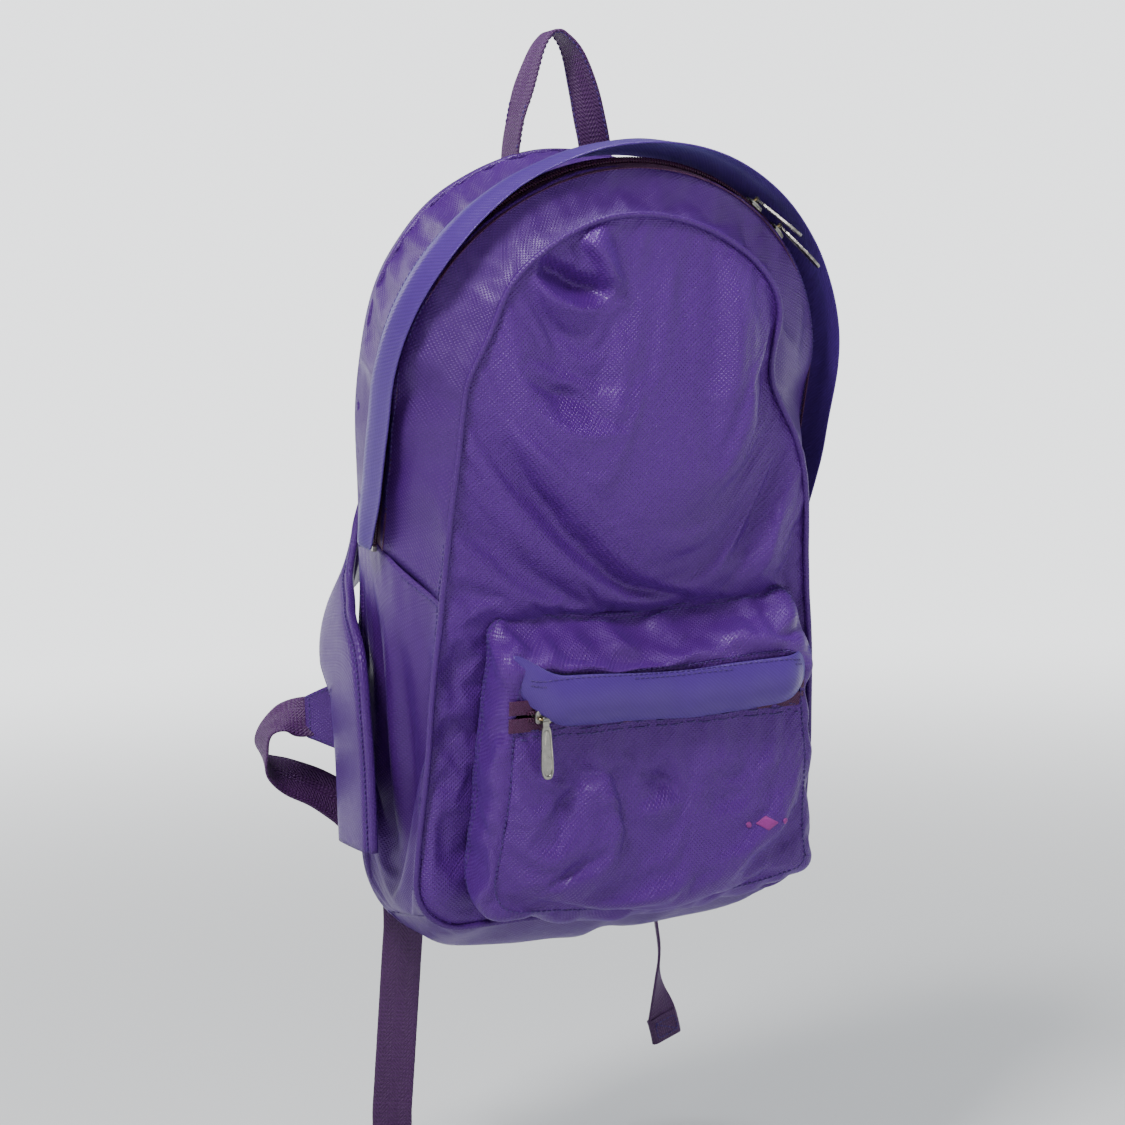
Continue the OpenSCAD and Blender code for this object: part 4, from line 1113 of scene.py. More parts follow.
def pocket_relief(P, outline):
    x, h = P[:, 0], P[:, 1]
    edge = ramp(border_distance(P, outline), 0, 24)
    near_edge = ramp(border_distance(P, outline), 0, 8)
    f = 12.0 * bump(x, 12, 72) * bump(h, 366, 46) + 4 * bump(x, 76, 26) * bump(h, 340, 30)
    f -= 4 * bump(x, -58, 22) * bump(h, 322, 16)
    f += fold(P, [(-84, 384), (-52, 356), (-12, 342), (30, 330)], 6.0, 7, 0.35)
    f += fold(P, [(-88, 372), (-58, 338), (-40, 316)], -5.0, 6, 0.3)
    f += fold(P, [(-70, 396), (-26, 378), (28, 372)], -4.6, 6.5, 0.3)
    f += fold(P, [(-50, 396), (-6, 388), (42, 384)], 4.0, 6)
    f += fold(P, [(-20, 300), (6, 324), (40, 338), (86, 334)], -5.0, 7, -0.3)
    f += fold(P, [(-46, 296), (-30, 316), (-22, 346)], 4.2, 6, 0.3)
    f += fold(P, [(28, 296), (50, 316), (92, 322)], 3.8, 6)
    f += fold(P, [(98, 372), (78, 350), (52, 346)], 2.4, 8)
    f += fold(P, [(104, 346), (92, 366), (96, 390)], -3.0, 6)
    f += fold(P, [(60, 392), (74, 376), (100, 372)], -2.4, 7)
    for height, width, line in (
            (-4.2, 3.6, [(-72, 306), (-30, 314), (16, 326), (70, 322)]), (3.4, 3.2, [(-76, 314), (-34, 326), (10, 340)]),
            (-3.6, 3.4, [(-74, 388), (-50, 366), (-26, 356)]), (3.8, 3.2, [(-80, 396), (-60, 378), (-34, 368)]),
            (-3.2, 3.4, [(20, 384), (50, 374), (84, 376)]), (3.0, 3.0, [(84, 330), (88, 356), (80, 384)])):
        f += fold(P, line, height, width, 0.4)
    return f * (0.25 * near_edge + 0.75 * edge)


def make_pocket_face(name, limit, below, node, relief, frames, shrink):
    last = POCKET_ROWS[-1]
    outline = clipped(last[:, :2], limit, below)
    depth = np.interp(np.arange(len(outline)), [0, len(outline)], [0, 0]) + 34.6
    P, faces = planar(outline, 3.3)
    near = ramp(border_distance(P, last[:, :2]), 0, 30)
    lean = ramp(-P[:, 1], -330, -232)
    d = 34.6 - 3.5 * lean * bump(P[:, 0] - POCKET_X, -86, 30) * (1 - near)
    puff = relief(P, outline)
    points = pocket_wander(on_plane(FRONT_PLANE, P[:, 0], P[:, 1], -(d + puff)))
    fine = wander(points, 1.0, 60, 14.0)[:, 0] * 1.2 * ramp(border_distance(P, outline), 0, 10)
    points = points + np.array([0, -1, -0.15]) * fine[:, None] * 0.001
    faces = [f if (P[f[1]] - P[f[0]])[0] * (P[f[2]] - P[f[0]])[1] - (P[f[1]] - P[f[0]])[1] * (
        P[f[2]] - P[f[0]])[0] < 0 else f[::-1] for f in faces]
    obj = new_piece(name, points, faces, P * 0.001, "shell", replaces=(node,))
    settle(obj, range(len(outline)), frames, shrink, bending=0.9)
    return thicken(obj, SHELL_T)


pocket_sides = make_pocket_walls()
pocket_face = make_pocket_face("pocket_face_cloth", POCKET_ZIP + 5.5, True, "pocket_front", pocket_relief, 26, -0.024)
pocket_upper = make_pocket_face("pocket_upper_cloth", POCKET_ZIP - 5.5, False, "pocket_top",
                                lambda P, outline: 0 * P[:, 0], 10, -0.01)


# ---------------------------------------------------------------- zips
def helix(name, P, N, radius, pitch, wire, material, node):
    """The nylon coil of a zip: one wire wound along a line. P and N are in millimetres."""
    P = np.asarray(P)
    along = np.concatenate([[0], np.cumsum(np.linalg.norm(np.diff(P, axis=0), axis=1))])
    turns = int(along[-1] / pitch)
    steps = turns * 9
    at = np.linspace(0, along[-1], steps)
    C = np.stack([np.interp(at, along, P[:, k]) for k in range(3)], 1)
    K = np.stack([np.interp(at, along, N[:, k]) for k in range(3)], 1)
    T = np.gradient(C, axis=0)
    T /= np.linalg.norm(T, axis=1, keepdims=True)
    K = K - (K * T).sum(1, keepdims=True) * T
    K /= np.linalg.norm(K, axis=1, keepdims=True)
    B = np.cross(T, K)
    a = 2 * math.pi * at / pitch
    C = C + radius * (np.cos(a)[:, None] * K * 0.8 + np.sin(a)[:, None] * B)
    T = np.gradient(C, axis=0)
    T /= np.linalg.norm(T, axis=1, keepdims=True)
    W = np.cross(T, K)
    W /= np.linalg.norm(W, axis=1, keepdims=True)
    return sweep(name, C, W, np.cross(T, W), round_section(wire, 5), material, replaces=(node,) if node else (),
                 slot="zip_coil")


def arch_frames(s, e, out):
    """Points on the zip's arch in millimetres, with the direction behind it and the way out of the bag."""
    P = zip_arch(s, e, out) * 1000
    inner = zip_arch(s, e, 0) * 1000
    outer = zip_arch(s, e, 5) * 1000
    N = outer - inner
    N /= np.linalg.norm(N, axis=1, keepdims=True)
    W = np.tile(np.array([0, math.cos(ZIP_PLANE[2]), math.sin(ZIP_PLANE[2])]), (len(P), 1))
    return P, W, N


def make_main_zip():
    s = np.linspace(-1, 1, 161)
    for name, a, b, node in (("rear", 1.0, 10.5, "main_tape_rear"), ("front", -10.5, -1.0, "main_tape_front")):
        P, W, N = arch_frames(s, (a + b) / 2, -0.9)
        sweep(f"zip_tape_{name}", P, W, N, flat_band(abs(b - a), 0.7), "tape", replaces=(node,), slot="zip_tape")
    fine = np.linspace(-1, 1, 321)
    for name, e, node in (("rear", 1.9, "main_coil_rear"), ("front", -1.9, "main_coil_front")):
        P, W, N = arch_frames(fine, e, 0.9)
        helix(f"zip_coil_{name}", P, N, 1.0, 1.7, 0.42, "coil", node)


def make_flap():
    """Folded storm flap over the main zip. It hugs the bag on the left and stands off on the right."""
    s = np.linspace(-1, 1, 181)
    P, W, N = arch_frames(s, 0, 0)
    sag = wander(P * 0.001, 1.0, 13, 7.0)
    ripple = wander(P * 0.001, 1.0, 40, 1.0)

    def section(i):
        t = s[i]
        close = float(ramp(-t, 0.05, 0.6))
        stand = float(ramp(t, -0.1, 0.25) * (1 - 0.6 * ramp(t, 0.75, 1.0)))
        end = float(ramp(abs(t), 0.93, 1.0))
        lift = 14.0 - 7.0 * close + 2.6 * stand + 1.6 * sag[i][0] - 2.0 * float(bump(t, -0.1, 0.25))
        reach = -11.5 - 8.5 * close + 1.6 * sag[i][1] + 0.9 * ripple[i][0] + 5 * end - 2.5 * float(bump(t, -0.1, 0.3))
        hump = 0.8 * ripple[i][1] + 0.9 * sag[i][2]
        mid = 1.4 * stand - 1.4 * close
        sunk = 3.2 * float(bump(t, 0, 0.5))
        low = [(25.5, -1.2 - sunk), (18, 0.9 - sunk * 0.6), (14, 3.0 - sunk * 0.3), (9, 6.2 + mid * 0.4), (4, 8.9 + mid + hump),
               (-1, 11.4 + mid + hump), (-5, 12.8 + mid * 0.5), (reach + 1.8, lift - 0.6), (reach + 0.3, lift - 0.1)]
        high = [(e, o + 1.55) for e, o in low[:-1]][::-1]
        tip = [(reach - 0.25, lift + 0.5), (reach + 0.3, lift + 1.15)]
        loop = low + tip + high
        return [(e, o) for e, o in loop]

    obj = sweep("storm_flap", P, W, N, section, "flap", replaces=("main_flap",), slot="flap_fabric")
    sub = obj.modifiers.new("smooth", "SUBSURF")
    sub.levels = sub.render_levels = 1
    return obj


make_main_zip()
flap = make_flap()


def make_pocket_zip():
    x = np.linspace(-96, 94, 64) + POCKET_X
    ey, ez = math.cos(FRONT_PLANE[2]), math.sin(FRONT_PLANE[2])
    down = np.array([0, ez, -ey])
    out = np.array([0, -ey, -ez])
    for name, side, node in (("upper", -1, None), ("lower", 1, None)):
        P = on_plane(FRONT_PLANE, x, np.full_like(x, POCKET_ZIP + side * 5.2), -33.6) * 1000
        W, N = np.tile(down, (len(P), 1)), np.tile(out, (len(P), 1))
        options = dict(replaces=("pocket_tapes",)) if side < 0 else {}
        sweep(f"pocket_tape_{name}", P, W, N, flat_band(8.6, 0.7), "tape", slot="zip_tape", **options)
        P = on_plane(FRONT_PLANE, np.linspace(-85, 85, 300) + POCKET_X,
                     np.full(300, POCKET_ZIP + side * 1.9), -34.9) * 1000
        helix(f"pocket_coil_{name}", P, np.tile(out, (300, 1)), 1.0, 1.7, 0.42, "coil",
              "pocket_coils" if side < 0 else None)


make_pocket_zip()


def make_pocket_flap():
    """Puffed storm flap over the pocket's zip: it lifts along its sewn edge."""
    x = np.linspace(-93, 103, 131)
    ey, ez = math.cos(FRONT_PLANE[2]), math.sin(FRONT_PLANE[2])
    P = on_plane(FRONT_PLANE, x + POCKET_X, POCKET_ZIP, -POCKET_D) * 1000
    W = np.tile(np.array([0, -ez, ey]), (len(P), 1))
    N = np.tile(np.array([0, -ey, -ez]), (len(P), 1))
    sag = wander(P * 0.001, 1.0, 17, 3.0)
    ripple = wander(P * 0.001, 1.0, 52, 8.0)

    def section(i):
        t = (x[i] + 93) / 196
        left, right = float(1 - ramp(t, 0, 0.17)), float(ramp(t, 0.82, 1))
        foot = -4.0 + 15 * left ** 1.7 + 6.0 * right + 1.8 * sag[i][0] - 3.0 * float(bump(t, 0.5, 0.3))
        top = 24.0 + 11 * left ** 1.7 + 1.0 * right - 2.5 * float(bump(t, 0.45, 0.25)) + 2.0 * sag[i][1]
        puff = 11.0 - 5.5 * left - 2.0 * right + 2.4 * sag[i][2] + 1.8 * ripple[i][0]
        sunk = 9.0 * left ** 2.0 + 17.0 * right ** 2.4
        span = top - foot
        low = []
        for q in np.linspace(0, 1, 11):
            rise = math.sin(math.pi * min(1, 0.08 + q * 0.74)) ** 0.75
            low.append((top - span * q, 0.9 + puff * rise + 0.7 * ripple[i][1] * q - sunk))
        high = [(w, o + 1.5) for w, o in low[:-1]][::-1]
        tip = [(low[-1][0] - 0.6, low[-1][1] + 0.5), (low[-1][0] - 0.1, low[-1][1] + 1.3)]
        return low + tip + high

    obj = sweep("pocket_storm_flap", P, W, N, section, "flap", body="pocket_flap", replaces=("pocket_flap",),
                slot="flap_fabric")
    sub = obj.modifiers.new("smooth", "SUBSURF")
    sub.levels = sub.render_levels = 1
    return obj


pocket_flap = make_pocket_flap()

# ---------------------------------------------------------------- straps
HAUL = [[-29, 7, -84, -0.1, 1, 0], [-28, 6, -71, -0.15, 1, 0], [-26, 3, -55, -0.15, 1, 0], [-20, 1, -34, -0.3, 1, 0],
        [-12, 0, -13, -0.1, 1, 0], [-5, 0, -3, 0, 1, 0], [0, 0, -1, 0, 1, 0], [5, 0, -3, 0, 1, 0],
        [12, 0, -13, -0.3, 1, 0], [19, 1, -34, -0.7, 0.8, 0], [24, 3, -55, -0.9, 0.5, 0],
        [28, 6, -71, -0.95, 0.3, 0], [29, 7, -84, -0.98, 0.2, 0]]
PAD_LEFT = [[-42, 12, -100, 1, 0, 0], [-50, 23, -130, 1, 0.1, 0], [-64, 34, -180, 0.9, 0.3, 0],
            [-82, 46, -230, 0.85, 0.5, 0], [-96, 54.7, -272, 0.8, 0.6, 0], [-109.3, 58.8, -305, 0.7, 0.7, 0],
            [-130.1, 56.3, -335, 0.33, 0.94, 0], [-142, 30, -356, 0.1, 1, 0], [-146, 4, -378, 0, 1, 0],
            [-146, 0, -402, 0, 1, 0], [-145, 0, -435, 0, 1, 0], [-145, 0, -480, 0, 1, 0]]
PAD_RIGHT = [[42, 12, -100, 1, 0, 0], [47, 24, -130, 1, 0.05, 0], [54, 38, -180, 0.95, 0.3, 0],
             [62, 50, -230, 0.85, 0.55, 0], [70, 60, -285, 0.7, 0.75, 0], [77, 68, -340, 0.5, 0.9, 0],
             [82, 73, -400, 0.4, 0.92, 0], [84, 76, -462, 0.4, 0.92, 0]]
PAD_W, PAD_HALF = 58, 5.2
LOCKS = {"left": ((-104, 52, -476), -24), "right": ((85, 77, -480), 66)}
LOOP_LEFT = [[-136.8, 18, -458, 0, 0, 1], [-136, 36, -450, 0, 0.3, 1], [-122, 50, -449, 0.5, 0, 0.8],
             [-109, 54, -456, 0.91, -0.41, 0.3], [-104, 52, -469, 0.91, -0.41, 0]]
ADJUST_LEFT = [[-147, 50.5, -407, 0, 0.3, 0.95], [-159, 53.5, -408, 0, 0.3, 0.95], [-171, 56, -408, 0, 0.8, 0.5], [-180, 59, -414, 0, 1, 0.1],
               [-183, 61, -425, 0, 1, 0], [-179, 63, -437, 0.3, 0.85, 0.4], [-165, 65, -446, 0.5, 0.5, 0.7],
               [-147, 67, -455, 0.6, 0.3, 0.75], [-130, 68, -467, 0.7, 0, 0.7], [-116, 66, -482, 0.85, -0.3, 0.4],
               [-106, 60, -495, 0.91, -0.41, 0]]
ADJUST_RIGHT = [[141, 58, -411, 0, 0.3, 0.95], [153, 61.5, -412, 0, 0.3, 0.95], [163, 68, -414, 0, 0.8, 0.5], [168, 78, -424, -0.2, 0.95, 0.1],
                [166, 88, -441, -0.5, 0.8, 0], [155, 96, -464, -0.5, 0.8, 0.2], [138, 100, -485, -0.3, 0.9, 0.4],
                [120, 98, -500, 0, 0.9, 0.4], [107, 91, -507, 0.2, 0.95, 0.2], [98, 81, -504, 0.41, 0.91, 0]]
WINGS = {"left": ((-131, 30, -380), -432, (-157, 52, -408)), "right": ((130, 30, -372), -462, (151, 60, -412))}


def make_pad(side, route):
    """Foam shoulder pad in a fabric sleeve with a bound edge."""
    rows = catmull(route, 9)
    P, W, N = frames_along(rows)
    soft = wander(P * 0.001, 1.0, 16, 5.0)

    def section(i):
        half = PAD_W / 2 + 0.6 * soft[i][0]
        across = np.concatenate([[-1.0, -0.985, -0.93, -0.86, -0.8], np.linspace(-0.7, 0.7, 11),
                                 [0.8, 0.86, 0.93, 0.985, 1.0]])
        top, foot = [], []
        for q in across:
            crown = PAD_HALF * (1 - abs(q) ** 5) ** 0.5 if abs(q) < 0.86 else PAD_HALF * 0.50
            binding = 2.9 * (1 - ((abs(q) - 0.93) / 0.075) ** 2) ** 0.5 if abs(abs(q) - 0.93) < 0.07 else 0
            th = max(0.25, binding if abs(q) >= 0.9 else crown * (0.72 if abs(q) > 0.84 else 1))
            dimple = 0.5 * soft[i][1] * (1 - q * q)
            top.append((q * half, th + dimple))
            foot.append((q * half, -th + dimple * 0.6))
        return foot + top[::-1]

    obj = sweep(f"shoulder_pad_{side}", P, W, N, section, "gusset",
                replaces=tuple(f"pad_{layer}_{side}" for layer in ("face", "foam", "lining")), slot="shell_fabric")
    lines = [np.array([p + w * (PAD_W / 2 * q) + n * (-PAD_HALF * 0.6) for p, w, n in zip(P, W, N)]) * 0.001
             for q in (-0.83, 0.83)]
    stitch(f"pad_stitches_{side}", lines, surface_of(obj))
    return obj


def at_lock(side, points):
    place, turn = LOCKS[side]
    spin = Matrix.Rotation(math.radians(turn), 3, "Z")
    return [list(Vector(place) + spin @ Vector(p)) for p in points]


def make_bar_loop(side):
    """Webbing looped round the ladder lock's top bar and stitched to itself."""
    r = 3.0
    top = 17 if side == "right" else 8
    points = [(0, -2.2, top), (0, -r, 6), (0, -r, 2)]
    points += [(0, -r * math.cos(a), -r * math.sin(a)) for a in np.radians(np.linspace(15, 165, 7))]
    points += [(0, r, 2), (0, r, 6), (0, 1.2, top)]
    place, turn = LOCKS[side]
    across = list(Matrix.Rotation(math.radians(turn), 3, "Z") @ Vector((1, 0, 0)))
    route = [p + across for p in at_lock(side, points)]
    return ribbon(f"buckle_webbing_{side}", route, WEB_W, 1.4, steps=3, rough=0.05,
                  replaces=() if side == "left" else ("buckle_loop_right",), slot="webbing")


def make_wing(side):
    """Triangular tab sewn into the side of the back, with the adjuster sewn to its point."""
    (x, y, z), foot, point = WINGS[side]
    lean = math.tan(math.radians(5))
    n, m = 15, 15
    grid = np.zeros((n, m, 3))
    bow = 2.0 if side == "left" else -2.0
    for i, a in enumerate(np.linspace(0, 1, n)):
        for j, b in enumerate(np.linspace(0, 1, m)):
            root = np.array([x, y + (z - (z + (foot - z) * b)) * lean, z + (foot - z) * b])
            tip = np.array([point[0], point[1], point[2] + 12.5 - 25 * b])
            p = root * (1 - a) + tip * a
            p[0] += bow * math.sin(math.pi * a) * math.sin(math.pi * b)
            grid[i, j] = p
    grid += wander(grid * 0.001, 0.8, 40, 3.0)
    obj = new_piece(f"strap_wing_{side}", grid.reshape(-1, 3) * 0.001, grid_faces(n, m), grid_uvs(grid * 0.001),
                    "gusset", replaces=(f"wing_{side}",))
    thicken(obj, 0.0022, 0.0)
    edge = [grid[1:-1, 1] * 0.001, grid[1:-1, -2] * 0.001, grid[-3, 1:-1] * 0.001]
    surface = surface_of(obj)
    for way in (1, -1):
        away = np.array([way * 0.003, 0, 0])
        stitch(f"wing_stitches_{side}_{'out' if way > 0 else 'in'}", [line + away for line in edge], surface)


def make_adjuster(side, route):
    obj = ribbon(f"adjuster_webbing_{side}", route, WEB_W, WEB_T, steps=6, rough=0.3, body=None,
                 replaces=(f"adjuster_{side}",), slot="webbing")
    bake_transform(obj)
    return obj


haul = ribbon("haul_loop_webbing", HAUL, 20, 2.0, steps=7, replaces=("haul_loop",), slot="webbing")
make_pad("left", PAD_LEFT)
make_pad("right", PAD_RIGHT)
make_bar_loop("left")
make_bar_loop("right")
ribbon("buckle_strap_left", LOOP_LEFT, WEB_W, 2.0, steps=7, replaces=("buckle_loop_left",), slot="webbing")
make_wing("left")
make_wing("right")
make_adjuster("left", ADJUST_LEFT)
make_adjuster("right", ADJUST_RIGHT)


def make_anchor():
    """Reinforcing patch that the shoulder pads and haul loop are sewn under."""
    outline = []
    corners = [(-50, 12), (50, 12), (72, 38), (-72, 38)]
    for p, q in zip(corners, corners[1:] + corners[:1]):
        outline += [(p[0] + (q[0] - p[0]) * t, p[1] + (q[1] - p[1]) * t) for t in np.linspace(0, 1, 14)[:-1]]
    P, faces = planar(outline, 5)
    d = border_distance(P, outline)
    points = shared(on_plane(BACK_PLANE, P[:, 0], P[:, 1], 4.2 + 1.2 * ramp(d, 0, 8)))
    obj = new_piece("strap_anchor_patch", points, faces, P * 0.001, "gusset", replaces=("strap_anchor",))
    thicken(obj, 0.0028)
    ring = [(-47, 15), (47, 15), (67, 35), (-67, 35), (-47, 15)]
    line = shared(on_plane(BACK_PLANE, np.array([p[0] for p in ring]), np.array([p[1] for p in ring]), 6))
    stitch("strap_anchor_stitches", [line], surface_of(obj))


make_anchor()


# ---------------------------------------------------------------- sliders, pulls, ladder locks
def bevelled(obj, width, segments=2):
    mod = obj.modifiers.new("edge", "BEVEL")
    mod.width = width
    mod.segments = segments
    mod.limit_method = "ANGLE"
    mod.angle_limit = math.radians(35)
    for polygon in obj.data.polygons:
        polygon.use_smooth = False
    return obj


def prism(mesh, outline, z0, z1, inset_z=None, inset=0.0):
    """A flat plate of (x, y) outline between two heights, or with a sunk face if inset is given."""
    n = len(outline)
    low = [mesh.verts.new((x, y, z0)) for x, y in outline]
    high = [mesh.verts.new((x, y, z1)) for x, y in outline]
    mesh.faces.new(low[::-1])
    for i in range(n):
        j = (i + 1) % n
        mesh.faces.new((low[i], low[j], high[j], high[i]))
    if inset:
        cx = sum(p[0] for p in outline) / n
        rim = [mesh.verts.new((cx + (x - cx) * (1 - inset * 0.55), y * (1 - inset), z1)) for x, y in outline]
        sunk = [mesh.verts.new((cx + (x - cx) * (1 - inset * 0.66), y * (1 - inset * 1.25), inset_z)) for x, y in outline]
        for i in range(n):
            j = (i + 1) % n
            mesh.faces.new((high[i], high[j], rim[j], rim[i]))
            mesh.faces.new((rim[i], rim[j], sunk[j], sunk[i]))
        mesh.faces.new(sunk)
    else:
        mesh.faces.new(high)


def rounded_plate(points, steps=5, radius=1.0):
    """A convex outline with its corners rounded."""
    out = []
    n = len(points)
    for i in range(n):
        p, a, b = (np.array(points[i], float), np.array(points[i - 1], float), np.array(points[(i + 1) % n], float))
        u, v = a - p, b - p
        r = min(radius, np.linalg.norm(u) * 0.45, np.linalg.norm(v) * 0.45)
        s, e = p + u / np.linalg.norm(u) * r, p + v / np.linalg.norm(v) * r
        for t in np.linspace(0, 1, steps):
            out.append(tuple((1 - t) ** 2 * s + 2 * t * (1 - t) * p + t * t * e))
    return out


def metal_piece(name, build, matrix, body, replaces, material="nickel", edge=0.00025):
    work = bmesh.new()
    build(work)
    for v in work.verts:
        v.co = matrix @ v.co * 0.001 if False else Vector(matrix @ v.co) * 0.001
    bmesh.ops.recalc_face_normals(work, faces=work.faces)
    mesh = bpy.data.meshes.new(name)
    work.to_mesh(mesh)
    work.free()
    mesh.materials.append(MAT[material])
    obj = bpy.data.objects.new(name, mesh)
    bpy.context.scene.collection.objects.link(obj)
    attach(obj, body)
    if replaces:
        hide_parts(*replaces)
    bevelled(obj, edge)
    return obj


def tube_into(mesh, points, radius, sides=12):
    """A round bar through points, capped."""
    P = np.array(points, float)
    T = np.gradient(P, axis=0)
    T /= np.linalg.norm(T, axis=1, keepdims=True)
    up = np.array([0.0, 0.0, 1.0]) if abs(T[0][2]) < 0.9 else np.array([1.0, 0, 0])
    rings = []
    for p, t in zip(P, T):
        a = np.cross(t, up)
        if np.linalg.norm(a) < 1e-3:
            a = np.cross(t, np.array([1.0, 0, 0]))
        a /= np.linalg.norm(a)
        b = np.cross(a, t)
        up = b
        rings.append([mesh.verts.new(tuple(p + radius * (math.cos(k) * a + math.sin(k) * b)))
                      for k in np.linspace(0, 2 * math.pi, sides + 1)[:-1]])
    for r0, r1 in zip(rings, rings[1:]):
        for i in range(sides):
            j = (i + 1) % sides
            mesh.faces.new((r0[i], r0[j], r1[j], r1[i]))
    mesh.faces.new(rings[0][::-1])
    mesh.faces.new(rings[-1])


BAR_Z, SPLAY = 5.8, 50


def slider_shape(mesh):
    """Top and bottom plates of a coil slider, wide at the mouth, with the post between them."""
    plate = rounded_plate([(5.4, -3.2), (5.6, 3.2), (1.5, 4.7), (-4.2, 3.9), (-5.4, 2.4), (-5.4, -2.4), (-4.2, -3.9),
                           (1.5, -4.7)], 3, 1.2)
    prism(mesh, plate, 2.55, 3.75)
    prism(mesh, plate, -2.55, -1.35)
    prism(mesh, [(-5.2, -0.6), (-1.6, -0.5), (-1.6, 0.5), (-5.2, 0.6)], -1.5, 2.7)
    for side in (-1, 1):
        prism(mesh, [(-3.5, side * 3.6), (4.6, side * 3.9), (4.6, side * 4.5), (-3.5, side * 4.2)][::side], 1.4, 2.7)


def bail_shape(mesh):
    """Wire bail across the top plate."""
    points = [(0, -3.4, 3.2), (0, -3.4, BAR_Z - 1.3)]
    points += [(0, -3.4 + 1.3 * (1 - math.cos(a)), BAR_Z - 1.3 + 1.3 * math.sin(a)) for a in np.radians([30, 60, 90])]
    points += [(0, y, BAR_Z) for y in (-1, 1)]
    points += [(0, 3.4 - 1.3 * (1 - math.cos(a)), BAR_Z - 1.3 + 1.3 * math.sin(a)) for a in np.radians([90, 60, 30])]
    points += [(0, 3.4, BAR_Z - 1.3), (0, 3.4, 3.2)]
    tube_into(mesh, points, 0.85)


def pull_shape(mesh):
    """Long flat pull with a sunk panel, hung from an eye."""
    eye = [(1.55 * math.cos(a), 1.55 * math.sin(a)) for a in np.linspace(0, 2 * math.pi, 25)[:-1]]
    hole = [(0.98 * math.cos(a), 0.98 * math.sin(a)) for a in np.linspace(0, 2 * math.pi, 25)[:-1]]
    n = len(eye)
    sides = []
    for y in (-2.0, 2.0):
        sides.append(([mesh.verts.new((x, y, z)) for x, z in eye], [mesh.verts.new((x, y, z)) for x, z in hole]))
    for i in range(n):
        j = (i + 1) % n
        mesh.faces.new((sides[0][0][i], sides[0][0][j], sides[1][0][j], sides[1][0][i]))
        mesh.faces.new((sides[0][1][j], sides[0][1][i], sides[1][1][i], sides[1][1][j]))
        for k in (0, 1):
            face = (sides[k][0][i], sides[k][0][j], sides[k][1][j], sides[k][1][i])
            mesh.faces.new(face if k else face[::-1])
    prism(mesh, [(1.35, -1.9), (5.5, -1.9), (5.5, 1.9), (1.35, 1.9)], -0.65, 0.65)
    outline = rounded_plate([(4.2, -2.2), (7.5, -2.9), (26, -3.75), (31, -3.6), (34.6, -2.0), (34.6, 2.0), (31, 3.6),
                             (26, 3.75), (7.5, 2.9), (4.2, 2.2)], 4, 1.6)
    prism(mesh, outline, -0.8, 0.8, 0.15, 0.24)


def zip_matrix(angle):
    """Axes of a slider on the arch: x along the zip, y behind, z out of the bag, in millimetres."""
    y0, z0, lean = ZIP_PLANE
    return (Matrix.Translation((0, y0, z0)) @ Matrix.Rotation(lean, 4, "X") @ Matrix.Translation((0, 0, -ZIP_R))
            @ Matrix.Rotation(math.radians(angle), 4, "Y") @ Matrix.Translation((0, 0, ZIP_R)))


for name, angle in (("upper", 38), ("lower", 48)):
    place = zip_matrix(angle)
    metal_piece(f"zip_slider_{name}", slider_shape, place, f"main_slider_{name}", (f"main_slider_{name}",))
    metal_piece(f"zip_bail_{name}", bail_shape, place @ Matrix.Rotation(math.radians(-SPLAY), 4, "Z"),
                f"main_slider_{name}", (), "brass", edge=0.0001)
    metal_piece(f"zip_pull_{name}", pull_shape,
                place @ Matrix.Rotation(math.radians(-SPLAY), 4, "Z") @ Matrix.Translation((0, 0, BAR_Z)),
                f"main_pull_{name}", (f"main_pull_{name}",))
y0, z0, lean = FRONT_PLANE
pocket_axes = (Matrix.Translation((0, y0, z0)) @ Matrix.Rotation(lean, 4, "X")
               @ Matrix.Translation((POCKET_X, -POCKET_D, -POCKET_ZIP)) @ Matrix.Rotation(math.pi / 2, 4, "X")
               @ Matrix.Translation((-76, 0, 0)))
metal_piece("pocket_zip_slider", slider_shape, pocket_axes, "pocket_slider", ("pocket_slider",))
metal_piece("pocket_zip_bail", bail_shape, pocket_axes @ Matrix.Translation((0, -0.6, 0))
            @ Matrix.Rotation(math.pi / 2, 4, "Z"), "pocket_slider", (), "brass", edge=0.0001)
metal_piece("pocket_zip_pull", pull_shape, pocket_axes @ Matrix.Translation((0, -0.6, BAR_Z))
            @ Matrix.Rotation(-math.pi / 2, 4, "Z") @ Matrix.Rotation(-lean, 4, "Y"), "pocket_pull", ("pocket_pull",))

for node_name in ("ladder_lock_left", "ladder_lock_right", "main_zip_stops"):
    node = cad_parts[node_name]
    node.data.materials.clear()
    node.data.materials.append(MAT["nickel" if node_name == "main_zip_stops" else "plastic"])
    bevelled(node, 0.0006 if node_name != "main_zip_stops" else 0.0003)


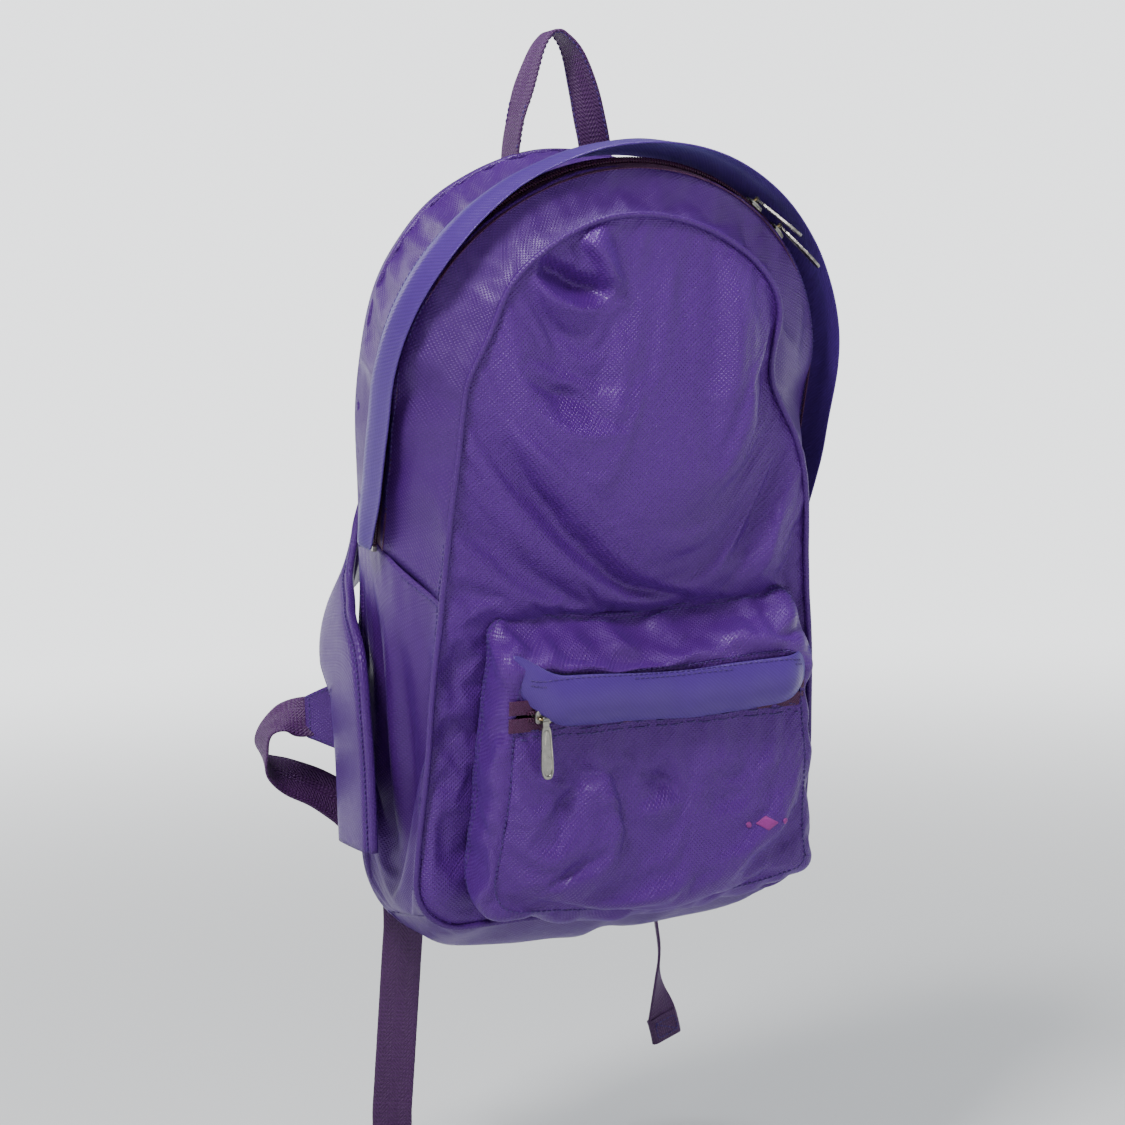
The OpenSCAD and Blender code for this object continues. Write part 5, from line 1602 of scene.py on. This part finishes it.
# ---------------------------------------------------------------- embroidered mark
def make_mark():
    """Plain satin-stitched diamond with a dot on each side."""
    surface = surface_of(pocket_face)
    verts, faces = [], []
    out = Vector((0, -math.cos(lean), -math.sin(lean)))
    rows = []
    for k in np.arange(-6.6, 6.7, 0.42):
        rows.append((k, 4.0 * (1 - abs(k) / 7.2)))
    for centre in (-12, 12):
        rows += [(centre + k, math.sqrt(max(0.05, 1.8 ** 2 - k * k))) for k in np.arange(-1.5, 1.6, 0.42)]
    ring = [(math.cos(k * math.pi / 3), math.sin(k * math.pi / 3)) for k in range(6)]
    for x, reach in rows:
        line = []
        for t in (-1, -0.6, 0, 0.6, 1):
            p = Vector(on_plane(FRONT_PLANE, 76 + x + t * 0.35, 357 + t * reach, -38))
            spot, normal, _, _ = surface.ray_cast(p + out * 0.05, -out)
            if spot is None:
                break
            line.append(spot + out * 0.0005 * (1 - 0.7 * t * t))
        if len(line) < 5:
            continue
        base = len(verts)
        along = (line[-1] - line[0]).normalized()
        across = along.cross(out).normalized()
        for c in line:
            verts.extend(c + across * (q[0] * 0.00027) + out * (q[1] * 0.0003) for q in ring)
        for k in range(4):
            for j in range(6):
                m = (j + 1) % 6
                faces.append((base + k * 6 + j, base + k * 6 + m, base + k * 6 + 6 + m, base + k * 6 + 6 + j))
        faces.append(tuple(base + j for j in range(6))[::-1])
        faces.append(tuple(base + 24 + j for j in range(6)))
    new_piece("embroidered_mark", verts, faces, None, "mark", replaces=("pocket_mark",), slot="embroidery")


make_mark()

# ---------------------------------------------------------------- seams
front_surface = surface_of(front_cloth)
band_surface = surface_of(front_band, side_left, side_right, bottom)
rear_surface = surface_of(rear_band, side_left, side_right, bottom)


def seam_line(x, h, plane, e=0.0):
    return shared(on_plane(plane, x, h, e))


def inset_ring(outline, inset):
    P = np.asarray(outline, float)
    T = np.roll(P, -1, axis=0) - np.roll(P, 1, axis=0)
    T /= np.maximum(np.linalg.norm(T, axis=1, keepdims=True), 1e-9)
    N = np.stack([-T[:, 1], T[:, 0]], 1)
    return P + N * inset


ring = front_outline
beside = [shared(on_plane(FRONT_PLANE, ring[:, 0], ring[:, 1], 4.2))]
stitch("piping_stitches", [np.concatenate([beside[0], beside[0][:1]])], band_surface)
s = np.linspace(-0.99, 0.99, 200)
stitch("zip_seam_front", [zip_arch(s, -ZIP_HALF - 2.6)], surface_of(front_band))
stitch("flap_stitches", [zip_arch(s, 16.2, 3.6), zip_arch(s, 20.5, 1.5)], surface_of(flap), outward=None)
for side, panel in (("left", side_left), ("right", side_right)):
    top = lower_gusset(np.array([0.12]), -1 if side == "left" else 1)[0]
    stitch(f"split_stitches_{side}", [shared(top)], surface_of(panel))
    low = lower_gusset(np.array([SIDE_END - 0.12]), -1 if side == "left" else 1)[0]
    stitch(f"foot_stitches_{side}", [shared(low)], surface_of(panel))
base_rows = POCKET_ROWS[0]
walls = surface_of(pocket_sides)
lines = []
for row, weight in ((0, 0.35), (0, 0.9)):
    mix = POCKET_ROWS[0] * (1 - weight) + POCKET_ROWS[1] * weight
    points = pocket_wander(on_plane(FRONT_PLANE, mix[:, 0], mix[:, 1], -mix[:, 2]))
    lines.append(np.concatenate([points, points[:1]]))
stitch("pocket_seam_stitches", lines, walls)
rim = POCKET_ROWS[-1]
rim_points = pocket_wander(on_plane(FRONT_PLANE, rim[:, 0], rim[:, 1], -rim[:, 2] - 1))
stitch("pocket_edge_stitches", [np.concatenate([rim_points, rim_points[:1]])], walls)
x = np.linspace(-82, 98, 120)
stitch("pocket_zip_stitches", [on_plane(FRONT_PLANE, x, POCKET_ZIP + 8.5 + 0 * x, -40),
                               on_plane(FRONT_PLANE, x, POCKET_ZIP + 12 + 0 * x, -40)], surface_of(pocket_face))
x = np.linspace(-82, 100, 120)
stitch("pocket_flap_stitches", [on_plane(FRONT_PLANE, x, POCKET_ZIP - 22.5 + 0 * x, -42),
                                on_plane(FRONT_PLANE, x, POCKET_ZIP - 19 + 0 * x, -42)], surface_of(pocket_flap),
       body="pocket_flap")
edges = [np.array([np.array(r[:3]) + np.array(r[3:6]) / np.linalg.norm(r[3:6]) * q for r in catmull(HAUL[1:-1], 5)]) * 0.001
         for q in (-8.6, 8.6)]
stitch("haul_loop_stitches", edges, surface_of(haul))
